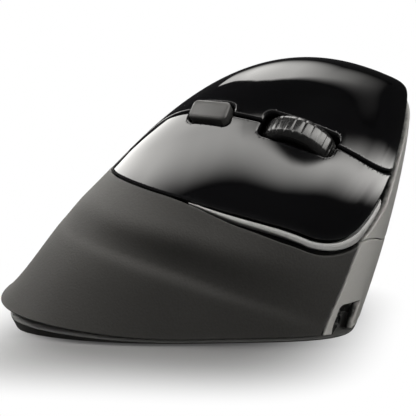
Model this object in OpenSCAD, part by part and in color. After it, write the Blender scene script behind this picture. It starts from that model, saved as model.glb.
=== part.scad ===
// Right-handed upright mouse for a handshake grip, with two gloss keys on the finger flank.
// Millimetres. +Z is up, +Y points to the front, +X is the finger side, -X the thumb side.
// The origin is the middle of the underside at table height.
// The outer skin is a sheet of curves that rise from the lip line (v = 0) to the crest (v = 1).
// Angle a runs round the body: 0 finger side, 90 front, 180 thumb side, 270 tail.

/* [Body] */
// Overall length from tail to front
body_length = 108.5; // [103:0.5:116]
// Overall width from lip to lip
body_width = 78; // [74:1:84]
// Height of the crest above the table
body_height = 72; // [68:1:78]
// Wall of the shells
wall = 2.2; // [1.8:0.1:2.6]
// Gap between neighbouring fixed shells
seam = 0.4; // [0.3:0.05:0.6]

/* [Keys] */
// Thickness of the gloss keys
key_wall = 2; // [1.6:0.1:2.4]
// Gap round the gloss keys
key_gap = 0.6; // [0.5:0.05:0.8]
// Widest part of the bright strip under the lower key
trim_width = 1.9; // [1.4:0.1:2.4]

/* [Wheel] */
// Outer diameter of the wheel
wheel_d = 21; // [19:0.5:23]
// Width of the wheel
wheel_w = 7; // [6:0.25:8]
// Height of the wheel above the keys
wheel_out = 3.6; // [2.8:0.1:4.4]
// Number of ribs on the wheel
wheel_ribs = 28; // [20:1:32]
// Radial play of turning and sliding fits
play = 0.05; // [0.03:0.01:0.08]

/* [Buttons] */
// Length of the speed button
dpi_len = 11; // [9:0.2:13]
// Width of the speed button
dpi_wide = 6; // [5:0.2:7.4]
// Length of each thumb button
thumb_len = 15; // [12:0.5:17]
// Width of each thumb button
thumb_wide = 6; // [5:0.25:7]
// Travel of the small buttons
button_travel = 0.5; // [0.4:0.05:0.7]

/* [Underside] */
// Height of the glide feet under the base
foot_out = 0.5; // [0.4:0.1:0.9]
// Thickness of the base floor
floor_t = 2; // [1.6:0.1:2.6]
// Length of each glide foot
foot_len = 16; // [12:0.5:20]
// Width of each glide foot
foot_wide = 6; // [5:0.5:8]

/* [Electronics] */
// Length of the battery
battery_len = 30; // [24:1:34]
// Thickness of the battery
battery_t = 6; // [4:0.5:8]
// Width of the charging socket
port_w = 9; // [8:0.5:10]
// Height of the charging socket
port_h = 3.4; // [2.8:0.1:4]

/* [Hidden] */

// Scale of the design curves to the chosen overall sizes
kx = body_width / 78;
ky = body_length / 108.5;
kz = body_height / 71.8;

// Lip line: half widths, half lengths and squareness
finger_x = 30.4 * kx;
thumb_x = 39 * kx;
front_y = 41.4 * ky;
tail_y = 54.2 * ky;
front_square = 3.6;
tail_square = 3.6;

// Flare of the lip on the finger side towards the tail
flare = 8.8 * kx;
flare_a = -18;
flare_span = 38;
flare_low = 0.6;
flare_mid = 0.1;

// Design values for the finger side, the thumb side, the front and the tail
lip_up = [1.5, 1.5, 1.5, 9.5] * kz;
low_out = [0.5, -10, 5, -7];
low_up = [10, 3, 14, 5] * kz;
mid_out = [2, -20, 11.6, -24];
mid_up = [25, 22, 38, 20] * kz;
top_out = [22, 9, 12, 11.5];
top_down = [14, 20, 4, 12] * kz;
ridge_out = [13, 8, 9, 8];

// Control points of the crest from the tail to the front
crest = [
  [-7.2 * kx, -20.6 * ky, 47.5 * kz],
  [-9.2 * kx, -3.6 * ky, 65.5 * kz],
  [-13.2 * kx, 17.4 * ky, 78 * kz],
  [-15.2 * kx, 43.4 * ky, 68.5 * kz]];

// Shallow finger rest on the lower flank
rest_deep = 0.7;
rest_v = 0.23;
rest_slope = 0.0032;
rest_half = 0.05;
rest_span = 30;

function unit(p) = p / norm(p);
function mix(p, q, t) = p + (q - p) * t;
function clamp01(t) = min(1, max(0, t));
function ease(t) = let (c = clamp01(t)) c * c * (3 - 2 * c);
function by_side(a, q) = let (c = cos(a), s = sin(a))
  q[0] * pow(max(c, 0), 2) + q[1] * pow(max(-c, 0), 2) + q[2] * pow(max(s, 0), 2) + q[3] * pow(max(-s, 0), 2);

// Clamped cubic spline through six controls
function knot(i) = clamp01((i - 3) / 3);
function spline(p, v) =
  let (k = min(2, max(0, floor(3 * v))))
  let (f = [for (j = [1:3]) mix(p[k + j - 1], p[k + j], (v - knot(k + j)) / (knot(k + j + 3) - knot(k + j)))])
  let (g = [for (j = [1:2]) mix(f[j - 1], f[j], (v - knot(k + j + 1)) / (knot(k + j + 3) - knot(k + j + 1)))])
  mix(g[0], g[1], (v - knot(k + 3)) / (knot(k + 4) - knot(k + 3)));

function out_dir(a) = [kx * cos(a), ky * sin(a), 0];
function up(h) = [0, 0, h];
function turn_of(a) = a > 180 ? a - 360 : a;
function flared(a) = flare * exp(-pow((turn_of(a) - flare_a) / flare_span, 2));
function lip_pt(a) =
  let (c = cos(a), s = sin(a), n = s > 0 ? front_square : tail_square)
  let (r = pow(pow(abs(c), n) + pow(abs(s), n), 1 / n))
  [(c > 0 ? finger_x : thumb_x) * c / r + flared(a), (s > 0 ? front_y : tail_y) * s / r, by_side(a, lip_up)];
function crest_pt(t) =
  pow(1 - t, 3) * crest[0] + 3 * t * pow(1 - t, 2) * crest[1]
  + 3 * t * t * (1 - t) * crest[2] + pow(t, 3) * crest[3];
function crest_dir(t) = unit(pow(1 - t, 2) * (crest[1] - crest[0]) + 2 * t * (1 - t) * (crest[2] - crest[1])
  + t * t * (crest[3] - crest[2]));
function rib_curve(a) =
  let (p = lip_pt(a), t = 0.5 + 0.5 * sin(a), c = crest_pt(t), o = out_dir(a), f = [flared(a), 0, 0])
  [p,
   p + by_side(a, low_out) * o + up(by_side(a, low_up)) - (1 - flare_low) * f,
   p + by_side(a, mid_out) * o + up(by_side(a, mid_up)) - (1 - flare_mid) * f,
   c + by_side(a, top_out) * o - up(by_side(a, top_down)),
   c + by_side(a, ridge_out) * ([kx * cos(a), 0, 0] + sin(a) * crest_dir(t)),
   c];
function rest(a, v) =
  let (d = turn_of(a))
  -rest_deep * exp(-pow((v - rest_v + rest_slope * d) / rest_half, 2) - pow(d / rest_span, 2));
function skin(a, v) = spline(rib_curve(a), v) + rest(a, v) * out_dir(a);

// Slopes and outward normal of the skin
step_a = 0.5;
step_v = 0.004;
function held(v) = min(0.985, max(step_v, v));
function slope_a(a, v) = (skin(a + step_a, held(v)) - skin(a - step_a, held(v))) / (2 * step_a);
function slope_v(a, v) = (skin(a, held(v) + step_v) - skin(a, held(v) - step_v)) / (2 * step_v);
function normal(a, v) = unit(cross(slope_a(a, v), slope_v(a, v)));
function v_of(a, v, mm) = mm / norm(slope_v(a, v));
function a_of(a, v, mm) = mm / norm(slope_a(a, v));

// Point moved off the skin. Near the lip the move turns level, so shell edges end on the lip line.
lip_zone = 0.12;
function moved(a, v, d) =
  let (n = normal(a, v), f = clamp01(v / lip_zone))
  skin(a, v) + d * unit([n.x, n.y, n.z * f]);

// Gloss area: station s runs from its tail tip to its front edge
tip_a = -75;
front_a = 65.5;
front_lean = 40;
front_v = 0.28;
front_end = 84;
function front_edge(v) = min(front_end, front_a + front_lean * max(0, v - front_v));
function cap_a(s, v) = tip_a + s * (front_edge(v) - tip_a);
function cap_s(a, v) = (a - tip_a) / (front_edge(v) - tip_a);

// Lower edge of the gloss area with its rounded front corner, and the line that splits the keys
edge_curve = [1, 0.746, 0.496, 0.37, 0.232, 0.058];
corner_from = 0.792;
corner_rise = 0.6;
corner_part = 0.862;
tip_v = 0.02;
function edge_v(s) =
  let (x = max(0, (s - corner_from) / (1 - corner_from)))
  let (v = spline(edge_curve, s) + corner_rise * (1 - sqrt(max(0, 1 - corner_part * x * x))))
  s < corner_from ? v : min(v, split_v(s) - tip_v);
split_curve = [0.804, 0.91, 0.722, 0.571, 0.408, 0.397];
split_from = 0.17;
function split_v(s) = spline(split_curve, (s - split_from) / (1 - split_from));

// Thumb-side edge of the upper key
flank_v = 0.07;
flank_gap = 1.6;
function thumb_v(s) = 1 - flank_v * ease(s / 0.3);

// Bright strip and the dark slot under it
strip_from = 0.49;
strip_to = 0.975;
strip_start = 0.46;
strip_ramp = 0.1;
strip_full = 0.55;
strip_fade = 0.9;
strip_end = 0.45;
slot_gap = 1.3;
function strip_in(s) = ease((s - strip_start) / strip_ramp);
function strip_w(s) = strip_in(s) * trim_width * mix(0.7, 1, ease((s - strip_full) / 0.3))
  * mix(1, strip_end, ease((s - strip_fade) / (1 - strip_fade)));
function slot_w(s) = strip_in(s) * slot_gap * mix(0.5, 1, ease((s - strip_full) / 0.25))
  * mix(1, 0.65, ease((s - 0.8) / 0.1));
// A sideways move from a slanted line is lengthened so that the gap stays even
step_s = 0.004;
function line_pt(s, kind) = let (v = kind == 0 ? edge_v(s) : split_v(s)) skin(cap_a(s, v), v);
function lean(s, kind) =
  let (q = min(s, 1 - step_s), t = line_pt(q + step_s, kind) - line_pt(q - step_s, kind))
  let (v = kind == 0 ? edge_v(s) : split_v(s), w = slope_v(cap_a(s, v), v))
  norm(t) * norm(w) / norm(cross(t, w));
function low_gap(s) = key_gap * mix(0.8, 1.3, ease((s - 0.4) / 0.4));
function edge_mm(s, mm) = edge_v(s) - v_of(cap_a(s, edge_v(s)), edge_v(s), mm) * lean(s, 0);
function shell_top(s) = edge_mm(s, low_gap(s) + strip_w(s) + slot_w(s));

// Front seam on the finger side and on the thumb side
seam_a = 45.3;
seam_lean = 43;
cover_v = 0.195;
cover_rise = 0.034;
cover_from = 55;
cover_span = 30;
thumb_seam_a = 132.5;
thumb_seam_lean = 38.6;
thumb_seam_end = 96;
function seam_f(v) = seam_a + seam_lean * v;
function seam_t(v) = max(thumb_seam_end, thumb_seam_a - thumb_seam_lean * v);
function cover_top(a) = cover_v + cover_rise * (1 - ease((a - cover_from) / cover_span));

// Closed sheet between an outer and an inner grid of points
module sheet(outer, inner) {
  n = len(outer) - 1;
  m = len(outer[0]) - 1;
  w = m + 1;
  o = (n + 1) * w;
  pts = concat([for (r = outer) for (p = r) p], [for (r = inner) for (p = r) p]);
  skin_faces = [for (i = [0:n - 1]) for (j = [0:m - 1])
    let (a = i * w + j, b = a + w, c = b + 1, d = a + 1)
    each [[a, d, c], [a, c, b], [a + o, c + o, d + o], [a + o, b + o, c + o]]];
  long_faces = [for (i = [0:n - 1])
    let (a = i * w, b = a + w, p = a + m, q = b + m)
    each [[a, b, b + o], [a, b + o, a + o], [q, p, p + o], [q, p + o, q + o]]];
  end_faces = [for (j = [0:m - 1])
    let (a = j, d = j + 1, b = n * w + j, c = b + 1)
    each [[d, a, a + o], [d, a + o, d + o], [b, c, c + o], [b, c + o, b + o]]];
  polyhedron(pts, concat(skin_faces, long_faces, end_faces), convexity = 8);
}

// Sheet over a grid of [a, v] places, between two depths
module skin_sheet(places, d_out, d_in) {
  sheet([for (r = places) [for (q = r) moved(q[0], q[1], d_out)]],
    [for (r = places) [for (q = r) moved(q[0], q[1], d_in)]]);
}

// Local frames: x forward along the keys, y towards the crest, z out of the skin
function frame_at(p, n, ahead) =
  let (x = unit(ahead - n * (ahead * n)))
  [x, cross(n, x), n, p];
module place(f) {
  multmatrix([[f[0].x, f[1].x, f[2].x, f[3].x], [f[0].y, f[1].y, f[2].y, f[3].y],
    [f[0].z, f[1].z, f[2].z, f[3].z], [0, 0, 0, 1]]) children();
}

wheel_s = 0.648;
dpi_s = 0.437;
wheel_v = split_v(wheel_s) - 0.008;
wheel_a = cap_a(wheel_s, wheel_v);
dpi_v = split_v(dpi_s) - 0.004;
dpi_a = cap_a(dpi_s, dpi_v);
function split_pt(s) = skin(cap_a(s, split_v(s)), split_v(s));
wheel_frame = frame_at(skin(wheel_a, wheel_v), normal(wheel_a, wheel_v), split_pt(0.76) - split_pt(0.56));
dpi_frame = frame_at(skin(dpi_a, dpi_v), normal(dpi_a, dpi_v), split_pt(0.56) - split_pt(0.4));

// Places under the keys where they press their switches
press_s = 0.78;
right_v = mix(edge_v(press_s), split_v(press_s), 0.5);
left_v = mix(split_v(press_s), 1, 0.45);
right_a = cap_a(press_s, right_v);
left_a = cap_a(press_s, left_v);
right_frame = frame_at(skin(right_a, right_v), normal(right_a, right_v), wheel_frame[0]);
left_frame = frame_at(skin(left_a, left_v), normal(left_a, left_v), wheel_frame[0]);

// Depths under the skin
boss_end = key_wall + 2.4;
boss_r = 1.6;
pan_out = boss_end + 0.9;
pan_wall = 1.2;
pan_in = pan_out + pan_wall;
plunger_r = 1;
plunger_len = 3.2;
switch_len = 10;
switch_w = 5.6;
switch_h = 5;
near = 0.1;

module box(x0, x1, y0, y1, z0, z1) {
  translate([x0, y0, z0]) cube([x1 - x0, y1 - y0, z1 - z0]);
}

module pill(l, w, z0, z1) {
  r = w / 4;
  translate([0, 0, z0]) {
    translate([-l / 2 + r, -w / 2, 0]) cube([l - 2 * r, w, z1 - z0]);
    translate([-l / 2, -w / 2 + r, 0]) cube([l, w - 2 * r, z1 - z0]);
    for (x = [-l / 2 + r, l / 2 - r], y = [-w / 2 + r, w / 2 - r])
      translate([x, y, 0]) cylinder(h = z1 - z0, r = r, $fn = 32);
  }
}

// Shell grids
shell_rows = 12;
tail_cols = 3;
cap_cols = 26;
seam_s = 0.927;
shear_from = 0.7;
seam_top_a = cap_a(seam_s, shell_top(seam_s));
function main_place(s, v_top, j) =
  let (v = v_top * j / shell_rows, a = cap_a(s, v_top))
  [a + (seam_f(v) - seam_top_a) * ease((s - shear_from) / (seam_s - shear_from)), v];
function tail_gap_a(v) = min(10, a_of(270, v, seam / 2));
ridge_gap = 2.5;
function ridge_top(a) = 1 - v_of(a, 0.98, ridge_gap * seam);
module main_shell() {
  tail = [for (i = [0:tail_cols - 1])
    let (v_top = ridge_top(mix(-90, tip_a, i / tail_cols)))
    [for (j = [0:shell_rows])
      let (v = v_top * j / shell_rows)
      [mix(-90 + tail_gap_a(v), tip_a, i / tail_cols), v]]];
  cap = [for (i = [0:cap_cols]) let (s = seam_s * i / cap_cols, v_top = min(shell_top(s), ridge_top(tip_a)))
    [for (j = [0:shell_rows]) main_place(s, v_top, j)]];
  color("#3b3a38") skin_sheet(concat(tail, cap), 0, -wall);
}

thumb_cols = 28;
function thumb_top(a, v) =
  let (s = cap_s(180 - a, v))
  s <= 0 ? ridge_top(a) : min(ridge_top(a), thumb_v(s) - v_of(a, 0.9, flank_gap));
module thumb_hole(f, grow) {
  place(f) pill(thumb_len + 2 * grow, thumb_wide + 2 * grow, -wall - 4, 6);
}
module thumb_shell() {
  places = [for (i = [0:thumb_cols])
    let (a_top = mix(thumb_seam_end, 270 - tail_gap_a(0.97), i / thumb_cols), v_top = thumb_top(a_top, 0.9))
    [for (j = [0:shell_rows])
      let (v = v_top * j / shell_rows, edge = seam_t(v) + a_of(seam_t(v), v, seam))
      [mix(edge, 270 - tail_gap_a(v), i / thumb_cols), v]]];
  color("#3b3a38") difference() {
    skin_sheet(places, 0, -wall);
    thumb_hole(thumb_frame_forward, key_gap);
    thumb_hole(thumb_frame_back, key_gap);
  }
}

// Front pieces
cover_cols = 12;
cover_rows = 4;
port_x = 16 * kx;
port_z = 5.2;
notch_w = port_w + 2.6;
notch_h = port_h + 4;
notch_lead = 0.9;
module port_notch(grow, lead, drop) {
  box(port_x - notch_w / 2 - grow, port_x + notch_w / 2 + grow + lead, front_y - 11, front_y + 12,
    port_z - notch_h / 2 - grow - drop, port_z + notch_h / 2 + grow);
}
module front_cover() {
  places = [for (i = [0:cover_cols])
    let (a_top = mix(seam_f(cover_v), seam_t(cover_v), i / cover_cols))
    let (v_top = cover_top(a_top) - v_of(a_top, cover_v, seam / 2))
    [for (j = [0:cover_rows])
      let (v = v_top * j / cover_rows)
      [mix(seam_f(v) + a_of(seam_f(v), v, seam), seam_t(v), i / cover_cols), v]]];
  color("#8d8c89") difference() {
    skin_sheet(places, 0, -wall);
    port_notch(0.3, notch_lead, notch_h);
  }
}
nose_steps = [0, 0.035, 0.07, 0.12, 0.2, 0.3, 0.4, 0.5, 0.6, 0.7, 0.8, 0.9, 1];
nose_cols = 10;
nose_lead = 56.2;
nose_lean = 205;
nose_gap = [2, 0.9];
nose_turn = 0.5;
nose_top = 0.88;
function nose_a(v) =
  let (low = nose_lead + nose_lean * (v - cover_v - cover_rise), edge = front_edge(v))
  min(low, edge + a_of(edge, v, key_gap + mix(nose_gap[0], nose_gap[1], ease((v - nose_turn) / 0.3))));
module nose_panel() {
  v_lead = cover_top(nose_lead) + v_of(nose_lead, cover_v, seam / 2);
  places = [for (i = [0:nose_cols])
    let (a_low = mix(nose_lead, seam_t(cover_v), i / nose_cols))
    let (v_low = cover_top(a_low) + v_of(a_low, cover_v, seam / 2))
    [for (d = nose_steps)
      let (v = mix(v_low, nose_top, d), lead = nose_a(mix(v_lead, nose_top, d)))
      [mix(lead, seam_t(v) - a_of(seam_t(v), v, 1.3 * seam), i / nose_cols), v]]];
  color("#8d8c89") skin_sheet(places, 0, -wall);
}

// Bright strip below the lower key
trim_cols = 18;
module edge_trim() {
  places = [for (i = [0:trim_cols])
    let (s = mix(strip_from, strip_to, i / trim_cols))
    let (hi = edge_mm(s, low_gap(s)), lo = edge_mm(s, low_gap(s) + strip_w(s)))
    [for (v = [lo, mix(lo, hi, 0.5), hi]) [cap_a(s, edge_v(s)), v]]];
  color("#b9b9b8") skin_sheet(places, -0.1, -wall);
}

// Dark pan below the keys
frame_cols = 18;
frame_rows = 8;
frame_from = 0.24;
frame_top = 0.9;
flange = wall + 0.25;
under_shell = 2.6;
module button_frame() {
  stations = [for (i = [0:frame_cols]) mix(frame_from, 0.985, i / frame_cols)];
  places = [for (s = stations)
    let (lo = edge_mm(s, low_gap(s) + strip_w(s) + slot_w(s) + under_shell))
    let (mid = edge_mm(s, low_gap(s) + 0.3), hi = edge_mm(s, -1))
    concat([[lo, flange], [mid, flange]],
      [for (j = [0:frame_rows]) [mix(hi, frame_top, j / frame_rows), pan_out]])];
  function spot(i, q, d) = moved(cap_a(stations[i], max(q[0], edge_v(stations[i]))), q[0], -q[1] - d);
  color("#161616") difference() {
    sheet([for (i = [0:frame_cols]) [for (q = places[i]) spot(i, q, 0)]],
      [for (i = [0:frame_cols]) [for (q = places[i]) spot(i, q, pan_wall)]]);
    place(wheel_frame) box(-wheel_d / 2 - 1, wheel_d / 2 + 1,
      -housing_y - 0.3, housing_y + 0.3, -pan_in - 8, 0);
    place(right_frame) switch_block(0.3, -pan_in - 6, -boss_end);
    place(left_frame) switch_block(0.3, -pan_in - 6, -boss_end);
  }
}

// Gloss keys
key_cols = 22;
slot_low = wheel_d / 2 - wheel_out - key_wall - 0.8;
slot_x = sqrt(pow(wheel_d / 2, 2) - pow(slot_low, 2)) + 0.9;
slot_y = wheel_w / 2 + 0.5;
dpi_gap = 0.6;
module key_cuts() {
  place(wheel_frame) pill(2 * slot_x, 2 * slot_y, -8, 8);
  place(dpi_frame) pill(dpi_len + 2 * dpi_gap, dpi_wide + 2 * dpi_gap, -8, 8);
}
module key_boss(f) {
  place(f) translate([0, 0, -boss_end]) cylinder(h = boss_end - key_wall / 2, r = boss_r, $fn = 32);
}
function half_v(s) = v_of(cap_a(s, split_v(s)), split_v(s), key_gap / 2) * lean(s, 1);
right_rows = 8;
right_from = 0.2;
module right_button() {
  places = [for (i = [0:key_cols])
    let (s = mix(right_from, 1, i / key_cols), lo = edge_v(s), hi = split_v(s) - half_v(s))
    [for (j = [0:right_rows]) let (v = mix(lo, hi, j / right_rows)) [cap_a(s, v), v]]];
  color("#0b0b0c") union() {
    difference() {
      skin_sheet(places, 0, -key_wall);
      key_cuts();
    }
    key_boss(right_frame);
  }
}
left_rows = 12;
left_from = 0.08;
function left_low(s) =
  s < split_from ? edge_v(s) : max(split_v(s) + half_v(s), edge_v(s) * (s < right_from ? 1 : 0));
function over_crest(s, q) =
  q < 1 ? [cap_a(s, q), q] : [180 - cap_a(s, 2 - q), 2 - q];
module left_button() {
  places = [for (i = [0:key_cols])
    let (s = mix(left_from, 1, i / key_cols), lo = left_low(s), hi = 2 - thumb_v(s))
    [for (j = [0:left_rows]) over_crest(s, mix(lo, hi, j / left_rows))]];
  color("#0b0b0c") union() {
    difference() {
      skin_sheet(places, 0, -key_wall);
      key_cuts();
    }
    key_boss(left_frame);
  }
}

// Switches under the keys
module switch_block(grow, z0, z1) {
  box(-switch_len / 2 - grow, switch_len / 2 + grow, -switch_w / 2 - grow, switch_w / 2 + grow, z0, z1);
}
module switch_box(f) {
  color("#1d1d20") place(f) difference() {
    switch_block(0, -pan_out - near - switch_h, -pan_out - near);
    translate([0, 0, -boss_end - plunger_len - 1.2])
      cylinder(h = switch_h + 4, r = plunger_r + play, $fn = 32);
  }
}
module plunger(f) {
  color("#c8322e") place(f) translate([0, 0, -boss_end - near - plunger_len])
    cylinder(h = plunger_len, r = plunger_r, $fn = 32);
}
module left_switch() switch_box(left_frame);
module right_switch() switch_box(right_frame);
module left_plunger() plunger(left_frame);
module right_plunger() plunger(right_frame);

// Wheel, its carrier and the housing that guides it
axle_z = wheel_out - wheel_d / 2;
hub_r = wheel_d / 2 - 2.4;
axle_r = 1.5;
carrier_in = wheel_w / 2 + 0.5;
carrier_t = 1.5;
carrier_out = carrier_in + carrier_t;
carrier_x = 4.6;
carrier_up = 2.6;
housing_y = carrier_out + 0.4 + 1.3;
housing_x = 7.5;
click = button_travel;
carrier_low = axle_z - wheel_d / 2 - 0.6 - carrier_t;
middle_top = carrier_low - click - 0.4;
middle_h = 4.2;
housing_low = middle_top - middle_h - near - 1.4;
module wheel_hub() {
  color("#2a2a2c") place(wheel_frame) translate([0, 0, axle_z]) rotate([90, 0, 0]) {
    cylinder(h = wheel_w - 0.6, r = hub_r, center = true, $fn = 64);
    cylinder(h = 2 * carrier_out - 0.2, r = axle_r, center = true, $fn = 32);
  }
}
rib_deep = 0.7;
module wheel_tyre() {
  pts = [for (i = [0:wheel_ribs - 1]) for (q = [[0, 0], [0.18, 0], [0.32, 1], [0.82, 1]])
    let (t = 360 * (i + q[0]) / wheel_ribs, r = wheel_d / 2 - rib_deep * (1 - q[1]))
    [r * cos(t), r * sin(t)]];
  color("#1a1a1b") place(wheel_frame) translate([0, 0, axle_z]) rotate([90, 0, 0]) difference() {
    translate([0, 0, -wheel_w / 2]) linear_extrude(wheel_w) polygon(pts);
    cylinder(h = wheel_w + 2, r = hub_r + 0.02, center = true, $fn = 64);
  }
}
module wheel_carrier() {
  color("#4a4a4c") place(wheel_frame) difference() {
    union() {
      box(-carrier_x, carrier_x, carrier_in, carrier_out, carrier_low, axle_z + carrier_up);
      box(-carrier_x, carrier_x, -carrier_out, -carrier_in, carrier_low, axle_z + carrier_up);
      box(-carrier_x, carrier_x, -carrier_out, carrier_out, carrier_low, carrier_low + carrier_t);
    }
    translate([0, 0, axle_z]) rotate([90, 0, 0])
      cylinder(h = 3 * carrier_out, r = axle_r + play, center = true, $fn = 32);
  }
}
module wheel_housing() {
  color("#202022") place(wheel_frame) {
    box(-housing_x, housing_x, carrier_out + 0.4, housing_y, housing_low, -pan_out - 0.5);
    box(-housing_x, housing_x, -housing_y, -carrier_out - 0.4, housing_low, -pan_out - 0.5);
    box(-housing_x, housing_x, -housing_y, housing_y, housing_low, housing_low + 1.4);
  }
}
module wheel_encoder() {
  color("#2f5d3a") place(wheel_frame)
    box(-housing_x + 0.5, 2, housing_y + near, housing_y + 3, axle_z - 7, axle_z - 2);
}
middle_r = 1.2;
module middle_switch() {
  color("#1d1d20") place(wheel_frame) difference() {
    box(-4, 4, -3, 3, middle_top - middle_h, middle_top);
    translate([0, 0, middle_top - 3]) cylinder(h = 6, r = middle_r + play, $fn = 32);
  }
}
module middle_plunger() {
  color("#d9d9d6") place(wheel_frame) translate([0, 0, middle_top - 2])
    cylinder(h = carrier_low - near - middle_top + 2, r = middle_r, $fn = 32);
}

// Speed button between the keys
dpi_out = 1.5;
dpi_deep = 3.6;
module dpi_button() {
  color("#3a3a3a") place(dpi_frame) pill(dpi_len, dpi_wide, -dpi_deep, dpi_out);
}
module dpi_switch() {
  color("#1d1d20") place(dpi_frame) box(-3, 3, -2.2, 2.2, -pan_out + near, -dpi_deep - button_travel - 0.15);
}

// Thumb buttons on the far flank
thumb_row_v = 0.7;
thumb_out = 1.2;
thumb_deep = 3.4;
function thumb_frame(a) = frame_at(skin(a, thumb_row_v), normal(a, thumb_row_v),
  skin(a - 8, thumb_row_v) - skin(a + 8, thumb_row_v));
thumb_pitch = thumb_len + 3;
function thumb_a(y) = let (a0 = 172) a0 - a_of(a0, thumb_row_v, y);
thumb_frame_forward = thumb_frame(thumb_a(thumb_pitch));
thumb_frame_back = thumb_frame(thumb_a(0));
module thumb_key(f) {
  color("#2c2c2c") place(f) pill(thumb_len, thumb_wide, -thumb_deep, thumb_out);
}
module thumb_switch(f) {
  color("#1d1d20") place(f) box(-3, 3, -3, 3,
    -thumb_deep - button_travel - 3.6, -thumb_deep - button_travel - 0.15);
}
module thumb_forward() thumb_key(thumb_frame_forward);
module thumb_back() thumb_key(thumb_frame_back);
module thumb_switch_forward() thumb_switch(thumb_frame_forward);
module thumb_switch_back() thumb_switch(thumb_frame_back);

// Base tray
base_n = 72;
base_in = [0.3, 5, 0.4, 6];
crease_in = [0.3, 3.5, 0.4, 3.6];
crease_part = 0.5;
floor_in = [5, 4, 5, 3];
base_fit = wall + 0.35;
tray_wall = 1.6;
tongue_v = 0.03;
floor_z = foot_out + floor_t;
sensor_y = 8 * ky;
sensor_r = 5.5;
function inset(a, d) = let (p = lip_pt(a)) [p.x - d * cos(a), p.y - d * sin(a), 0];
module base_body() {
  angles = [for (i = [0:base_n - 1]) 360 * i / base_n];
  rings = [
    [for (a = angles) inset(a, by_side(a, base_in)) + up(foot_out)],
    [for (a = angles) inset(a, by_side(a, crease_in)) + up(mix(foot_out, lip_pt(a).z - seam, crease_part))],
    [for (a = angles) moved(a, 0, -base_fit) - up(0.1)],
    [for (a = angles) moved(a, tongue_v, -base_fit)],
    [for (a = angles) moved(a, tongue_v, -base_fit - tray_wall)],
    [for (a = angles) inset(a, by_side(a, base_in + floor_in)) + up(floor_z)]];
  pts = [for (r = rings) for (p = r) p];
  last = len(rings) - 1;
  walls = [for (k = [0:last - 1]) for (i = [0:base_n - 1])
    let (a = k * base_n + i, b = k * base_n + (i + 1) % base_n, d = a + base_n, c = b + base_n)
    each [[a, d, c], [a, c, b]]];
  low = [[for (i = [0:base_n - 1]) i]];
  high = [[for (i = [0:base_n - 1]) last * base_n + base_n - 1 - i]];
  polyhedron(pts, concat(walls, low, high), convexity = 8);
}
foot_x = 15 * kx;
foot_front_y = 27 * ky;
foot_rear_y = -36 * ky;
foot_in = 0.5;
module foot_shape(grow, z0, z1) {
  pill(foot_len + 2 * grow, foot_wide + 2 * grow, z0, z1);
}
module foot_sites() {
  for (x = [-foot_x, foot_x], y = [foot_rear_y, foot_front_y])
    translate([x, y, 0]) children();
}
power_x = -16 * kx;
power_y = -14 * ky;
power_len = 7;
power_w = 3.4;
power_travel = 2.5;
screw_y = [30 * ky, -42 * ky];
screw_x = -2;
screw_r = 1.4;
screw_rim = 1;
module base_plate() {
  color("#5f5f5d") difference() {
    base_body();
    foot_sites() foot_shape(0.15, -1, foot_out + foot_in);
    translate([0, sensor_y, -1]) cylinder(h = floor_z + 2, r = sensor_r, $fn = 48);
    translate([power_x, power_y, 0]) box(-power_w / 2 - 0.4, power_w / 2 + 0.4,
      -power_len / 2 - power_travel / 2 - 0.4, power_len / 2 + power_travel / 2 + 0.4, -1, floor_z + 1);
    for (y = screw_y)
      translate([screw_x, y, -1]) cylinder(h = floor_z + 2, r = screw_r + 0.3, $fn = 32);
    port_notch(0.5, 0, 0);
  }
}
module foot_at(x, y) {
  color("#26262a") translate([x, y, 0]) foot_shape(0, 0, foot_out + foot_in - 0.05);
}
module foot_front_finger() foot_at(foot_x, foot_front_y);
module foot_front_thumb() foot_at(-foot_x, foot_front_y);
module foot_rear_finger() foot_at(foot_x, foot_rear_y);
module foot_rear_thumb() foot_at(-foot_x, foot_rear_y);

// Power switch in the underside
module power_slider() {
  color("#b5312c") translate([power_x, power_y - power_travel / 2, 0])
    box(-power_w / 2, power_w / 2, -power_len / 2, power_len / 2, foot_out + 0.4, floor_z + 0.6);
}
module power_switch() {
  color("#1d1d20") translate([power_x, power_y, 0])
    box(-4, 4, -8, 8, floor_z + 0.9, floor_z + 3.6);
}

// Board, sensor and lens
board_t = 1.2;
board_z = floor_z + 2.4;
board_half = [11, 13 * ky];
module main_board() {
  color("#1f4a2c") box(-board_half.x, board_half.x, sensor_y - board_half.y, sensor_y + board_half.y,
    board_z, board_z + board_t);
}
module sensor() {
  color("#151515") box(-5, 5, sensor_y - 5, sensor_y + 5, floor_z + 0.3, board_z - near);
}
module sensor_lens() {
  color("#9fb4bd") translate([0, sensor_y, foot_out + 0.6])
    cylinder(h = floor_t - 0.5, r = sensor_r - 0.15, $fn = 48);
}
battery_x = [-9 * kx, 13 * kx];
battery_y = (sensor_y - board_half.y + screw_y[1] + screw_r + screw_rim) / 2;
module battery() {
  color("#7d8a94") box(battery_x[0], battery_x[1], battery_y - battery_len / 2, battery_y + battery_len / 2,
    floor_z + 0.15, floor_z + 0.15 + battery_t);
}

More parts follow.
